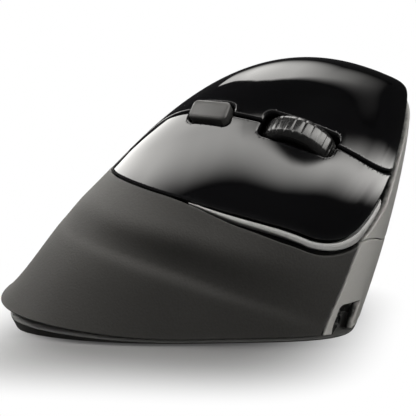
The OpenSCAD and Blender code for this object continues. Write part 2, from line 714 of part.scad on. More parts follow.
// Charging socket behind the front cover
pocket_t = 1;
pocket_back = front_y - 10;
port_back = pocket_back + pocket_t + 0.05;
port_front = front_y - 3.4;
port_wall = 0.45;
module port_pocket() {
  color("#101010") difference() {
    box(port_x - notch_w / 2 - 0.1, port_x + notch_w / 2 + 0.1, pocket_back, port_back + 4.4,
      port_z - notch_h / 2 - 0.1, port_z + notch_h / 2 + 0.1);
    box(port_x - notch_w / 2 + pocket_t, port_x + notch_w / 2 - pocket_t,
      pocket_back + pocket_t, front_y + 12,
      port_z - notch_h / 2 + pocket_t, port_z + notch_h / 2 - pocket_t);
  }
}
module port_tube(w, h, y0, y1) {
  translate([port_x, y1, port_z]) rotate([90, 0, 0]) {
    translate([-w / 2 + h / 2, -h / 2, 0]) cube([w - h, h, y1 - y0]);
    for (x = [-w / 2 + h / 2, w / 2 - h / 2])
      translate([x, 0, 0]) cylinder(h = y1 - y0, d = h, $fn = 32);
  }
}
module port_shell() {
  color("#c9ccd0") difference() {
    port_tube(port_w, port_h, port_back, port_front);
    port_tube(port_w - 2 * port_wall, port_h - 2 * port_wall, port_back + 1, port_front + 1);
  }
}
module port_tongue() {
  color("#1a1a1a") box(port_x - port_w / 2 + 1.6, port_x + port_w / 2 - 1.6,
    port_back + 1.05, port_front - 0.8, port_z - 0.35, port_z + 0.35);
}

// Screws up into the base
module screw_at(y) {
  color("#8f9296") translate([screw_x, y, 0]) {
    translate([0, 0, foot_out + 0.3]) cylinder(h = floor_t + 1.4, r = screw_r, $fn = 32);
    translate([0, 0, floor_z + 0.15]) cylinder(h = 1.55, r = screw_r + screw_rim, $fn = 32);
  }
}
module screw_front() screw_at(screw_y[0]);
module screw_rear() screw_at(screw_y[1]);

base_plate();
foot_front_finger();
foot_front_thumb();
foot_rear_finger();
foot_rear_thumb();
main_shell();
thumb_shell();
front_cover();
nose_panel();
edge_trim();
button_frame();
left_button();
right_button();
left_switch();
right_switch();
left_plunger();
right_plunger();
wheel_hub();
wheel_tyre();
wheel_carrier();
wheel_housing();
wheel_encoder();
middle_switch();
middle_plunger();
dpi_button();
dpi_switch();
thumb_forward();
thumb_back();
thumb_switch_forward();
thumb_switch_back();
power_slider();
power_switch();
main_board();
sensor();
sensor_lens();
battery();
port_pocket();
port_shell();
port_tongue();
screw_front();
screw_rear();
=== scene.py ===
"""Dresses the solids of a vertical mouse: skin panels, gloss keys, grooved wheel and a plain studio."""

import logging
import math
from dataclasses import dataclass, field
from enum import Enum
from typing import Callable, Dict, List, Optional, Sequence, Tuple

import bpy
import numpy as np
from mathutils import Matrix, Vector
from mathutils.geometry import delaunay_2d_cdt


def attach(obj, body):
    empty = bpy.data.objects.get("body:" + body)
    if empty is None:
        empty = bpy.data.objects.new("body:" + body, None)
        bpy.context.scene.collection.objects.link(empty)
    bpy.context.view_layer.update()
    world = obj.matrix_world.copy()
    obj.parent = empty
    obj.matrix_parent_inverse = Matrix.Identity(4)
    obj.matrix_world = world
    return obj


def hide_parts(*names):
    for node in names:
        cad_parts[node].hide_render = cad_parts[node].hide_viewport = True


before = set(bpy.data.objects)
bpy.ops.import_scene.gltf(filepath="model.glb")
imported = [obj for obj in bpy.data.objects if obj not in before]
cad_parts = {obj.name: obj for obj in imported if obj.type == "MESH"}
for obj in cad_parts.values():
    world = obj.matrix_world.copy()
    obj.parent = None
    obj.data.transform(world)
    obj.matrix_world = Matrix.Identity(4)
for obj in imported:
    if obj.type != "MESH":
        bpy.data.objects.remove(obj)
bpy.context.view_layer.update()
MM = 0.001
LOG = logging.getLogger("mouse")
Array = np.ndarray
Colour = Tuple[float, float, float]
Place = Callable[[Array, Array, Array], Array]
RIM_STEP = 0.07
# Painted shade on cut walls: the rim takes this mark and the wall's foot takes 1, so the near-black colour
# starts just below the rim.
PAINTED_SHADE_START = 0.44


class Slot(Enum):
    """Material slots of the record, by finish."""

    BODY = "body_rubber"
    FRONT = "front_plastic"
    KEY = "key_gloss"
    TRIM = "trim_light"
    FRAME = "frame_black"
    TYRE = "wheel_rubber"
    HUB = "wheel_plastic"
    SPEED = "speed_button"
    THUMB = "thumb_plastic"
    BASE = "base_plastic"
    FOOT = "glide_foot"
    SWITCH = "switch_black"
    PLUNGER = "plunger_plastic"
    SLIDER = "slider_plastic"
    BOARD = "board_green"
    LENS = "lens_clear"
    BATTERY = "battery_wrap"
    SOCKET = "socket_metal"
    SCREW = "screw_metal"


# Skin


def ease(t: Array) -> Array:
    """Smooth step of t held between 0 and 1."""
    c = np.clip(t, 0.0, 1.0)
    return c * c * (3.0 - 2.0 * c)


def mix(p: Array, q: Array, t: Array) -> Array:
    """Straight blend from p to q."""
    return p + (q - p) * t


def unit(p: Array) -> Array:
    """Vectors of length one."""
    return p / np.maximum(np.linalg.norm(p, axis=-1, keepdims=True), 1e-12)


def spline(points: Sequence[Array], v: Array) -> Array:
    """Clamped cubic with six control points.

    Args:
        points: six arrays, each of the shape of v or with one more axis.
        v: places from 0 to 1 along the curve.

    Returns:
        The curve's values at v.
    """
    v = np.asarray(v, float)
    k = np.clip(np.floor(3 * v), 0, 2).astype(int)
    stack = np.stack(np.broadcast_arrays(*points), 0)
    wide = stack.ndim > v.ndim + 1

    def knot(i: Array) -> Array:
        """Knot value of index i."""
        return np.clip((i - 3) / 3, 0, 1)

    def take(j: int) -> Array:
        """Control points of each place's own span.

        Args:
            j: the point's number in the span.

        Returns:
            One control point for each place.
        """
        index = (k + j)[..., None] if wide else k + j
        index = np.broadcast_to(index, stack.shape[1:])
        return np.take_along_axis(stack, index[None], 0)[0]

    def share(lo: int, hi: int) -> Array:
        """Blend share between two knots."""
        t = (v - knot(k + lo)) / (knot(k + hi) - knot(k + lo))
        return t[..., None] if wide else t

    first = [mix(take(j - 1), take(j), share(j, j + 3)) for j in (1, 2, 3)]
    second = [mix(first[j - 1], first[j], share(j + 1, j + 3)) for j in (1, 2)]
    return mix(second[0], second[1], share(3, 4))


@dataclass(frozen=True)
class LocalFrame:
    """A seat on the skin: x forward, y towards the crest, z out of the skin, in millimetres."""

    x: Array
    y: Array
    z: Array
    origin: Array
    start: Tuple[float, float]

    def matrix(self, lift: float = 0.0) -> Matrix:
        """Matrix that puts a piece modelled in millimetres at the seat, in metres.

        Args:
            lift: how far out of the skin the piece's own origin goes, in millimetres.

        Returns:
            The matrix.
        """
        o = self.origin + self.z * lift
        rows = [[self.x[i] * MM, self.y[i] * MM, self.z[i] * MM, o[i] * MM] for i in range(3)]
        return Matrix(rows + [[0.0, 0.0, 0.0, 1.0]])


@dataclass
class Skin:
    """Outer surface of the body: a runs round it in degrees, v from the lower lip (0) to the crest (1)."""

    finger_x: float = 30.4
    thumb_x: float = 39.0
    front_y: float = 41.4
    tail_y: float = 54.2
    square: float = 3.6
    rise: float = 72 / 71.8
    lip_up: Tuple[float, ...] = (1.5, 1.5, 1.5, 9.5)
    low_out: Tuple[float, ...] = (0.5, -10, 5, -7)
    low_up: Tuple[float, ...] = (10, 3, 14, 5)
    mid_out: Tuple[float, ...] = (2, -20, 11.6, -24)
    mid_up: Tuple[float, ...] = (25, 22, 38, 20)
    top_out: Tuple[float, ...] = (22, 9, 12, 11.5)
    top_down: Tuple[float, ...] = (14, 20, 4, 12)
    ridge_out: Tuple[float, ...] = (13, 8, 9, 8)
    seam: float = 0.4
    key_gap: float = 0.6
    trim_width: float = 1.9
    slot_width: float = 1.3
    flare: float = 8.8
    flare_at: float = -18.0
    flare_span: float = 38.0
    rest_v: float = 0.2
    rest_slope: float = 0.0036
    rest_span: float = 33.0
    rest_deep: float = 2.0
    rest_fade: Tuple[float, float] = (0.065, 0.024)
    swell_up: float = 1.2
    swell_at: float = 0.115
    swell_span: float = 0.05
    gloss_start: float = -75.0
    split_curve: Tuple[float, ...] = (0.804, 0.91, 0.722, 0.571, 0.408, 0.397)
    edge_curve: Tuple[float, ...] = (1, 0.746, 0.496, 0.37, 0.232, 0.058)
    crest_over: float = 0.07
    level_seam: float = 0.195
    wheel_s: float = 0.648
    speed_s: float = 0.437
    thumb_a: float = 172.0
    thumb_v: float = 0.7

    def __post_init__(self) -> None:
        """Sets the crest curve."""
        crest = np.array([[-7.2, -20.6, 47.5], [-9.2, -3.6, 65.5], [-13.2, 17.4, 78], [-15.2, 43.4, 68.5]])
        self.crest = crest * np.array([1, 1, self.rise])

    @staticmethod
    def by_side(a: Array, q: Sequence[float]) -> Array:
        """Blends four values round the body.

        Args:
            a: angles round the body, in degrees.
            q: values at the finger side, thumb side, front and tail.

        Returns:
            One value for each angle.
        """
        c, s = np.cos(np.radians(a)), np.sin(np.radians(a))
        up = lambda t: np.maximum(t, 0) ** 2
        return q[0] * up(c) + q[1] * up(-c) + q[2] * up(s) + q[3] * up(-s)

    @staticmethod
    def turn(a: Array) -> Array:
        """Angle between -180 and 180."""
        return np.where(a > 180, a - 360, a)

    def flared(self, a: Array) -> Array:
        """How far the finger-side lip flares out."""
        return self.flare * np.exp(-(((self.turn(a) - self.flare_at) / self.flare_span) ** 2))

    def lip(self, a: Array) -> Array:
        """Points of the lower lip.

        Args:
            a: angles round the body, in degrees.

        Returns:
            Points in millimetres.
        """
        a = np.asarray(a, float)
        c, s = np.cos(np.radians(a)), np.sin(np.radians(a))
        n = self.square
        r = (np.abs(c) ** n + np.abs(s) ** n) ** (1 / n)
        x = np.where(c > 0, self.finger_x, self.thumb_x) * c / r + self.flared(a)
        y = np.where(s > 0, self.front_y, self.tail_y) * s / r
        return np.stack([x, y, self.by_side(a, self.lip_up) * self.rise], -1)

    def point(self, a: Array, v: Array) -> Array:
        """Points of the skin.

        Args:
            a: angles round the body, in degrees.
            v: heights from 0 at the lip to 1 at the crest.

        Returns:
            Points in millimetres.
        """
        a, v = np.broadcast_arrays(np.asarray(a, float), np.asarray(v, float))
        c, s = np.cos(np.radians(a)), np.sin(np.radians(a))
        zero = np.zeros_like(a)
        lip = self.lip(a)
        flare = np.stack([self.flared(a), zero, zero], -1)
        t = (0.5 + 0.5 * s)[..., None]
        k = self.crest
        crest = (1 - t) ** 3 * k[0] + 3 * t * (1 - t) ** 2 * k[1] + 3 * t * t * (1 - t) * k[2] + t**3 * k[3]
        along = unit((1 - t) ** 2 * (k[1] - k[0]) + 2 * t * (1 - t) * (k[2] - k[1]) + t * t * (k[3] - k[2]))
        out = np.stack([c, s, zero], -1)
        up = np.array([0, 0, self.rise])
        g = lambda q: self.by_side(a, q)[..., None]
        across = np.stack([c, zero, zero], -1) + s[..., None] * along
        ribs = [
            lip,
            lip + g(self.low_out) * out + g(self.low_up) * up - 0.4 * flare,
            lip + g(self.mid_out) * out + g(self.mid_up) * up - 0.9 * flare,
            crest + g(self.top_out) * out - g(self.top_down) * up,
            crest + g(self.ridge_out) * across,
            crest,
        ]
        return spline(ribs, v) + self.finger_rest(a, v)[..., None] * out

    def finger_rest(self, a: Array, v: Array) -> Array:
        """How far the finger rest stands out: a hollow with a sharp lower edge, and a swell above it.

        Args:
            a: angles round the body, in degrees.
            v: heights from 0 at the lip to 1 at the crest.

        Returns:
            Lengths in millimetres, below 0 in the hollow.
        """
        d = self.turn(a)
        above = v - self.rest_v + self.rest_slope * d
        aside = (d / self.rest_span) ** 2
        hollow = -self.rest_deep * np.exp(-((above / np.where(above > 0, *self.rest_fade)) ** 2) - aside)
        return hollow + self.swell_up * np.exp(-(((above - self.swell_at) / self.swell_span) ** 2) - aside)

    def slope_a(self, a: Array, v: Array) -> Array:
        """Change of the skin for a degree of a."""
        h = np.clip(v, 0.004, 0.985)
        return self.point(a + 0.5, h) - self.point(a - 0.5, h)

    def slope_v(self, a: Array, v: Array) -> Array:
        """Change of the skin for a unit of v."""
        h = np.clip(v, 0.004, 0.985)
        return (self.point(a, h + 0.004) - self.point(a, h - 0.004)) / 0.008

    def normal(self, a: Array, v: Array) -> Array:
        """Outward normals of the skin."""
        return unit(np.cross(self.slope_a(a, v), self.slope_v(a, v)))

    def a_of(self, a: Array, v: Array, mm: float) -> Array:
        """Degrees of a that make up a length."""
        return mm / np.linalg.norm(self.slope_a(a, v), axis=-1)

    def v_of(self, a: Array, v: Array, mm: float) -> Array:
        """Part of v that makes up a length."""
        return mm / np.linalg.norm(self.slope_v(a, v), axis=-1)

    def moved(self, a: Array, v: Array, d: Array) -> Array:
        """Skin points moved along the wall's own direction, which is level at the lip.

        Args:
            a: angles round the body, in degrees.
            v: heights from 0 at the lip to 1 at the crest.
            d: lengths to move by, in millimetres.

        Returns:
            Points in millimetres.
        """
        n = self.normal(a, v).copy()
        n[..., 2] *= np.clip(np.asarray(v) / 0.12, 0, 1)
        return self.point(a, v) + np.asarray(d)[..., None] * unit(n)

    def front_edge(self, v: Array) -> Array:
        """Angle at which the keys end."""
        return np.minimum(84, 65.5 + 40 * np.maximum(0, np.asarray(v) - 0.28))

    def cap_a(self, s: Array, v: Array) -> Array:
        """Angle of station s of the gloss area."""
        return self.gloss_start + s * (self.front_edge(v) - self.gloss_start)

    def cap_s(self, a: Array, v: Array) -> Array:
        """Station of the gloss area at an angle."""
        return (a - self.gloss_start) / (self.front_edge(v) - self.gloss_start)

    def split_v(self, s: Array) -> Array:
        """Height of the line between the two keys.

        Args:
            s: stations of the gloss area.

        Returns:
            One height for each station.
        """
        s = np.asarray(s, float)
        return spline([np.full_like(s, c) for c in self.split_curve], (s - 0.17) / 0.83)

    def edge_v(self, s: Array) -> Array:
        """Height of the lower key's lower edge.

        Args:
            s: stations of the gloss area.

        Returns:
            One height for each station.
        """
        s = np.asarray(s, float)
        x = np.maximum(0, (s - 0.792) / 0.208)
        corner = 0.6 * (1 - np.sqrt(np.maximum(0, 1 - 0.862 * x * x)))
        v = spline([np.full_like(s, c) for c in self.edge_curve], s) + corner
        return np.where(s < 0.792, v, np.minimum(v, self.split_v(s) - 0.02))

    def over_crest(self, s: Array) -> Array:
        """Height by which the upper key runs on over the crest."""
        return self.crest_over * ease(s / 0.3)

    def lean(self, s: Array, line: Callable[[Array], Array]) -> Array:
        """How much longer a step in v is than a step square to a line of the gloss area.

        Args:
            s: stations of the gloss area.
            line: the line's height at a station.

        Returns:
            One factor for each station.
        """

        def at(t: Array) -> Array:
            """Point of the line."""
            return self.point(self.cap_a(t, line(t)), line(t))

        along = unit(at(s + 0.004) - at(s - 0.004))
        v = line(s)
        up = unit(self.slope_v(self.cap_a(s, v), v))
        return 1 / np.sqrt(np.maximum(0.1, 1 - np.sum(along * up, -1) ** 2))

    def edge_mm(self, s: Array, mm: Array) -> Array:
        """Height a length below the lower key's edge."""
        v = self.edge_v(s)
        return v - self.v_of(self.cap_a(s, v), v, 1.0) * mm * self.lean(s, self.edge_v)

    def half_v(self, s: Array) -> Array:
        """Half of the gap between the keys, in v."""
        v = self.split_v(s)
        return self.v_of(self.cap_a(s, v), v, self.key_gap / 2) * self.lean(s, self.split_v)

    @staticmethod
    def strip_in(s: Array) -> Array:
        """Where the bright strip has begun."""
        return ease((s - 0.43) / 0.2)

    def strip_w(self, s: Array) -> Array:
        """Width of the bright strip."""
        grown = mix(0.7, 1, ease((s - 0.55) / 0.3)) * mix(1, 0.45, ease((s - 0.9) / 0.1))
        return self.strip_in(s) * self.trim_width * grown

    def slot_w(self, s: Array) -> Array:
        """Width of the dark slot below the strip."""
        grown = mix(0.5, 1, ease((s - 0.55) / 0.25)) * mix(1, 0.65, ease((s - 0.8) / 0.1))
        return self.strip_in(s) * self.slot_width * grown

    def low_gap(self, s: Array) -> Array:
        """Gap below the lower key."""
        return self.key_gap * mix(0.8, 1.3, ease((s - 0.4) / 0.4))

    def shell_top(self, s: Array) -> Array:
        """Upper edge of the body below the gloss area."""
        return self.edge_mm(s, self.low_gap(s) + self.strip_w(s) + self.slot_w(s))

    @staticmethod
    def seam_f(v: Array) -> Array:
        """Front seam on the finger side."""
        return 45.3 + 43 * np.asarray(v, float)

    @staticmethod
    def seam_t(v: Array) -> Array:
        """Front seam on the thumb side."""
        return np.maximum(96, 132.5 - 38.6 * np.asarray(v, float))

    def cover_top(self, a: Array) -> Array:
        """Level seam across the front, a little higher at the finger side."""
        return self.level_seam + 0.034 * (1 - ease((a - 55) / 30))

    def tail_gap(self, v: Array) -> Array:
        """Half of the tail seam, in degrees."""
        v = np.asarray(v, float)
        return np.minimum(10, self.a_of(np.full_like(v, 270.0), v, self.seam / 2))

    def ridge_top(self, a: Array) -> Array:
        """Upper end of the shells at the ridge."""
        a = np.asarray(a, float)
        return 1 - self.v_of(a, np.full_like(a, 0.98), 2.5 * self.seam)

    def frame(self, a: float, v: float, ahead: Array) -> LocalFrame:
        """Seat at a place of the skin.

        Args:
            a: angle round the body, in degrees.
            v: height from 0 at the lip to 1 at the crest.
            ahead: the direction that the seat faces along.

        Returns:
            The seat.
        """
        n = self.normal(np.array(a), np.array(v))
        x = unit(ahead - n * float(ahead @ n))
        return LocalFrame(x, np.cross(n, x), n, self.point(np.array(a), np.array(v)), (a, v))

    def split_point(self, s: float) -> Array:
        """Point of the line between the keys."""
        v = self.split_v(np.array(s))
        return self.point(self.cap_a(np.array(s), v), v)

    def wheel_seat(self) -> LocalFrame:
        """Seat of the scroll wheel."""
        v = float(self.split_v(np.array(self.wheel_s))) - 0.008
        ahead = self.split_point(0.76) - self.split_point(0.56)
        return self.frame(float(self.cap_a(self.wheel_s, v)), v, ahead)

    def speed_seat(self) -> LocalFrame:
        """Seat of the speed button."""
        v = float(self.split_v(np.array(self.speed_s))) - 0.004
        ahead = self.split_point(0.56) - self.split_point(0.4)
        return self.frame(float(self.cap_a(self.speed_s, v)), v, ahead)

    def thumb_seat(self, along: float) -> LocalFrame:
        """Seat of a thumb button.

        Args:
            along: how far it lies forward of the rear one, in millimetres.

        Returns:
            The seat.
        """
        v = np.array(self.thumb_v)
        a = self.thumb_a - float(self.a_of(np.array(self.thumb_a), v, 1.0)) * along
        ahead = self.point(np.array(a - 8), v) - self.point(np.array(a + 8), v)
        return self.frame(a, self.thumb_v, ahead)


# Mesh tools


def deselect() -> None:
    """Leaves object mode clean: nothing selected, nothing active."""
    if bpy.context.object and bpy.context.object.mode != "OBJECT":
        bpy.ops.object.mode_set(mode="OBJECT")
    bpy.ops.object.select_all(action="DESELECT")
    bpy.context.view_layer.objects.active = None


def activate(obj: bpy.types.Object) -> bpy.types.Object:
    """Makes an object the only selected and active one.

    Args:
        obj: the object.

    Returns:
        The same object.
    """
    deselect()
    obj.select_set(True)
    bpy.context.view_layer.objects.active = obj
    return obj


def pick(obj: bpy.types.Object, kind: str, test: Callable[[Vector, Vector], bool]) -> None:
    """Selects elements of the active mesh in edit mode.

    Args:
        obj: the active object, in edit mode.
        kind: "VERT", "EDGE" or "FACE".
        test: says of a centre and a normal (or an edge's direction) if it is wanted.
    """
    bpy.ops.mesh.select_mode(type=kind)
    bpy.ops.mesh.select_all(action="DESELECT")
    bpy.ops.object.mode_set(mode="OBJECT")
    mesh = obj.data
    if kind == "FACE":
        for f in mesh.polygons:
            f.select = test(f.center, f.normal)
    elif kind == "EDGE":
        for e in mesh.edges:
            p, q = (mesh.vertices[i].co for i in e.vertices)
            e.select = test((p + q) / 2, (q - p).normalized())
    else:
        for w in mesh.vertices:
            w.select = test(w.co, w.normal)
    bpy.ops.object.mode_set(mode="EDIT")


def smooth(obj: bpy.types.Object, angle: float = 35.0) -> None:
    """Smooth shading with edges sharper than an angle kept."""
    activate(obj)
    bpy.ops.object.shade_smooth_by_angle(angle=math.radians(angle))


def merged_copy(node: str, name: str) -> bpy.types.Object:
    """Copy of a CAD node with its loose triangles joined.

    Args:
        node: the CAD node.
        name: the copy's name.

    Returns:
        The new object, active and in object mode.
    """
    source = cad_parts[node]
    obj = bpy.data.objects.new(name, source.data.copy())
    bpy.context.scene.collection.objects.link(obj)
    obj.data.materials.clear()
    activate(obj)
    if "custom_normal" in obj.data.attributes:
        bpy.ops.mesh.customdata_custom_splitnormals_clear()
    bpy.ops.object.mode_set(mode="EDIT")
    bpy.ops.mesh.select_all(action="SELECT")
    bpy.ops.mesh.remove_doubles(threshold=2e-6)
    bpy.ops.mesh.tris_convert_to_quads(face_threshold=math.radians(1), shape_threshold=math.radians(180))
    bpy.ops.object.mode_set(mode="OBJECT")
    return obj


def bevel_edges(obj: bpy.types.Object, width: float, segments: int, angle: float = 40.0) -> None:
    """Rounds an object's sharp edges with an applied bevel.

    Args:
        obj: the object.
        width: the bevel's width in metres.
        segments: its number of segments.
        angle: edges sharper than this, in degrees, are rounded.
    """
    activate(obj)
    mod = obj.modifiers.new("Round", "BEVEL")
    mod.width = width
    mod.segments = segments
    mod.limit_method = "ANGLE"
    mod.angle_limit = math.radians(angle)
    mod.harden_normals = False
    bpy.ops.object.modifier_apply(modifier=mod.name)


def inside(loop: Array, pts: Array) -> Array:
    """Even-odd test of points in a closed loop, both in the plane.

    Args:
        loop: points of the loop.
        pts: points to test.

    Returns:
        Whether each point lies in the loop.
    """
    x, y = pts[:, 0], pts[:, 1]
    hit = np.zeros(len(pts), bool)
    for p, q in zip(loop, np.roll(loop, -1, 0)):
        if p[1] == q[1]:
            continue
        cross = (p[1] > y) != (q[1] > y)
        hit ^= cross & (x < p[0] + (y - p[1]) * (q[0] - p[0]) / (q[1] - p[1]))
    return hit


def nearest(pts: Array, line: Array) -> Tuple[Array, Array]:
    """Nearest of many line points, in batches.

    Args:
        pts: points to measure from.
        line: points along the line.

    Returns:
        Each point's distance to its nearest line point, and that one's index.
    """
    dist, index = np.empty(len(pts)), np.empty(len(pts), int)
    for i in range(0, len(pts), 1000):
        part = pts[i : i + 1000]
        d2 = (part**2).sum(1)[:, None] - 2 * part @ line.T + (line**2).sum(1)[None]
        k = d2.argmin(1)
        index[i : i + 1000] = k
        dist[i : i + 1000] = np.linalg.norm(part - line[k], axis=1)
    return dist, index


@dataclass
class Panel:
    """A moulded wall that follows the skin, with rolled edges and openings.

    The panel lives on a flat chart (p, q). Its edge loops and rings beside them are triangulated on the
    chart, lifted to the skin, and rolled off towards every edge.
    """

    name: str
    sides: List[Array]
    place: Place
    scale: Tuple[float, float]
    wall: float = 2.0
    roll: float = 0.45
    step: float = 1.25
    edge_step: float = 0.5
    holes: List[Array] = field(default_factory=list)

    def spread(self, line: Array, step: float, closed: bool) -> Array:
        """Chart points of a line at even lengths on the skin.

        Args:
            line: chart points of the line.
            step: the wished distance in millimetres.
            closed: whether the line's end joins its start.

        Returns:
            Chart points, without the last one.
        """
        pts = np.vstack([line, line[:1]]) if closed else line
        deep = np.zeros(len(pts))
        span = np.linalg.norm(np.diff(self.place(pts[:, 0], pts[:, 1], deep), axis=0), axis=1)
        run = np.concatenate([[0], np.cumsum(span)])
        n = max(2, int(round(run[-1] / step)))
        at = np.linspace(0, run[-1], n + 1)[:-1]
        return np.stack([np.interp(at, run, pts[:, i]) for i in (0, 1)], -1)

    def loops(self, step: float) -> List[Array]:
        """Outline and openings at an even step, the outline first."""
        outline = np.vstack([self.spread(s, step, False) for s in self.sides])
        return [outline] + [self.spread(h, step, True) for h in self.holes]

    def slopes(self, pts: Array) -> Tuple[Array, Array]:
        """Change of the skin along p and along q.

        Args:
            pts: chart points.

        Returns:
            Two vectors for each point.
        """
        dp, dq = 0.05 / self.scale[0], 0.05 / self.scale[1]
        zero = np.zeros(len(pts))
        p, q = pts[:, 0], pts[:, 1]
        sp = (self.place(p + dp, q, zero) - self.place(p - dp, q, zero)) / (2 * dp)
        sq = (self.place(p, q + dq, zero) - self.place(p, q - dq, zero)) / (2 * dq)
        return sp, sq

    def rims(self, loop: Array, hole: bool) -> Tuple[Array, Array]:
        """Skin points of a loop and the direction out of the wall there.

        Args:
            loop: chart points of a closed loop.
            hole: whether the wall lies outside the loop.

        Returns:
            Points and unit vectors out of the wall.
        """
        zero = np.zeros(len(loop))
        pts = self.place(loop[:, 0], loop[:, 1], zero)
        flat = loop * np.array(self.scale)
        nxt = np.roll(flat, -1, 0)
        turn = np.sign(np.sum(flat[:, 0] * nxt[:, 1] - nxt[:, 0] * flat[:, 1]))
        tangent = unit(np.roll(pts, -1, 0) - np.roll(pts, 1, 0))
        sp, sq = self.slopes(loop)
        normal = unit(np.cross(sp, sq))
        out = unit(np.cross(tangent, normal)) * turn
        return pts, -out if hole else out

    def keep(self, pts: Array, loops: List[Array]) -> Array:
        """Which chart points lie in the wall.

        Args:
            pts: chart points.
            loops: the outline and the openings.

        Returns:
            Whether each point lies in the wall.
        """
        k = np.array(self.scale)
        ok = inside(loops[0] * k, pts * k)
        for h in loops[1:]:
            ok &= ~inside(h * k, pts * k)
        return ok

    def inner_points(self, outline: Array) -> Array:
        """Staggered chart points about one step apart over the outline's box.

        Args:
            outline: chart points of the outline.

        Returns:
            Chart points.
        """
        lo, hi = outline.min(0), outline.max(0)
        q_line = np.linspace(lo[1], hi[1], 200)
        mid = np.full(200, (lo[0] + hi[0]) / 2)
        tall = np.linalg.norm(np.diff(self.place(mid, q_line, np.zeros(200)), axis=0), axis=1).sum()
        rows = max(3, int(tall / (0.87 * self.step)))
        out = []
        for i, q in enumerate(np.linspace(lo[1], hi[1], rows)):
            p_line = np.linspace(lo[0], hi[0], 240)
            span = np.linalg.norm(np.diff(self.place(p_line, np.full(240, q), np.zeros(240)), axis=0), axis=1)
            run = np.concatenate([[0], np.cumsum(span)])
            n = max(3, int(run[-1] / self.step))
            at = (np.arange(n) + 0.5 * (i % 2)) / n * run[-1]
            out.append(np.stack([np.interp(at, run, p_line), np.full(n, q)], -1))
        return np.vstack(out)

    def build(self) -> bpy.types.Object:
        """Triangulates the chart and lifts it.

        Returns:
            The closed piece, with its true normals, an "edge" attribute, and a mark on its cut walls
            for a near-black painted shade.
        """
        fine = self.loops(RIM_STEP)
        rim_pts, rim_out = [], []
        for i, loop in enumerate(fine):
            pts, out = self.rims(loop, i > 0)
            live = np.ones(len(loop), bool)
            for j, other in enumerate(fine):
                if j == i:
                    continue
                hit = inside(other * np.array(self.scale), loop * np.array(self.scale))
                live &= hit if j == 0 else ~hit
            rim_pts.append(pts[live])
            rim_out.append(out[live])
        rim, rim_dir = np.vstack(rim_pts), np.vstack(rim_out)

        coarse = self.loops(self.edge_step)
        extra = [self.inner_points(coarse[0])]
        gap = [0.75 * self.step]
        for i, loop in enumerate(coarse):
            pts, out = self.rims(loop, i > 0)
            sp, sq = self.slopes(loop)
            gram = np.stack([np.stack([(sp * sp).sum(1), (sp * sq).sum(1)], -1),
                             np.stack([(sp * sq).sum(1), (sq * sq).sum(1)], -1)], 1)
            inward = np.stack([(sp * -out).sum(1), (sq * -out).sum(1)], -1)
            move = np.linalg.solve(gram, inward[..., None])[..., 0]
            for share in (0.1, 0.35, 0.7, 1.05):
                extra.append(loop + move * share * self.roll)
                gap.append(0.85 * share * self.roll)
        chosen = []
        for pts, need in zip(extra, gap):
            pts = pts[self.keep(pts, coarse)]
            d, _ = nearest(self.place(pts[:, 0], pts[:, 1], np.zeros(len(pts))), rim)
            chosen.append(pts[d > need])
        flat_in = np.vstack(coarse + chosen) * np.array(self.scale)
        edges, start = [], 0
        for loop in coarse:
            n = len(loop)
            edges += [(start + i, start + (i + 1) % n) for i in range(n)]
            start += n
        out = delaunay_2d_cdt([Vector(p) for p in flat_in], edges, [], 0, 1e-5)
        chart = np.array([tuple(p) for p in out[0]]) / np.array(self.scale)
        tris = np.array([f for f in out[2] if len(f) == 3])
        tris = tris[self.keep(chart[tris].mean(1), coarse)]
        used, tris = np.unique(tris, return_inverse=True)
        return self.lift(chart[used], tris.reshape(-1, 3), rim, rim_dir)

    def lift(self, chart: Array, tris: Array, rim: Array, rim_dir: Array) -> bpy.types.Object:
        """Puts a triangulated chart on the skin and closes it into a wall.

        Args:
            chart: chart points.
            tris: triangles of chart points.
            rim: skin points along every edge.
            rim_dir: directions out of the wall at these.

        Returns:
            The new object.
        """
        p, q = chart[:, 0], chart[:, 1]
        base = self.place(p, q, np.zeros(len(p)))
        sp, sq = self.slopes(chart)
        normal = unit(np.cross(sp, sq))
        flat = (chart * np.array(self.scale))[tris]
        area = np.cross(flat[:, 1] - flat[:, 0], flat[:, 2] - flat[:, 0])
        tris[area < 0] = tris[area < 0][:, ::-1]
        d, k = nearest(base, rim)
        count: Dict[Tuple[int, int], int] = {}
        for t in tris:
            for i in range(3):
                count[(t[i], t[(i + 1) % 3])] = 1
        border = [e for e in count if (e[1], e[0]) not in count]
        d[np.array(border).reshape(-1)] = 0
        share = np.clip((self.roll - d) / self.roll, 0, 1)
        deep = self.roll * (1 - np.sqrt(1 - share**2))
        side = rim_dir[k] - normal * np.sum(rim_dir[k] * normal, 1, keepdims=True)
        turned = unit(normal * np.sqrt(1 - share**2)[:, None] + unit(side) * share[:, None])
        n = len(chart)
        verts = np.vstack([self.place(p, q, -deep), self.place(p, q, np.full(n, -self.wall))])
        faces = [tuple(t) for t in tris] + [tuple(t[::-1] + n) for t in tris]
        faces += [(b, a, a + n, b + n) for a, b in border]
        loop_normals = [turned[tris.reshape(-1)], -normal[tris[:, ::-1].reshape(-1)]]
        loop_normals.append(unit(side)[[i for a, b in border for i in (b, a, a, b)]])
        mesh = bpy.data.meshes.new(self.name)
        mesh.from_pydata((verts * MM).tolist(), [], [tuple(int(i) for i in f) for f in faces])
        mesh.polygons.foreach_set("use_smooth", [True] * len(mesh.polygons))
        worn = mesh.attributes.new("edge", "FLOAT", "POINT")
        fade = np.concatenate([np.clip(1 - d / (3.0 * self.roll), 0, 1), np.zeros(n)])
        worn.data.foreach_set("value", fade.astype(np.float32))
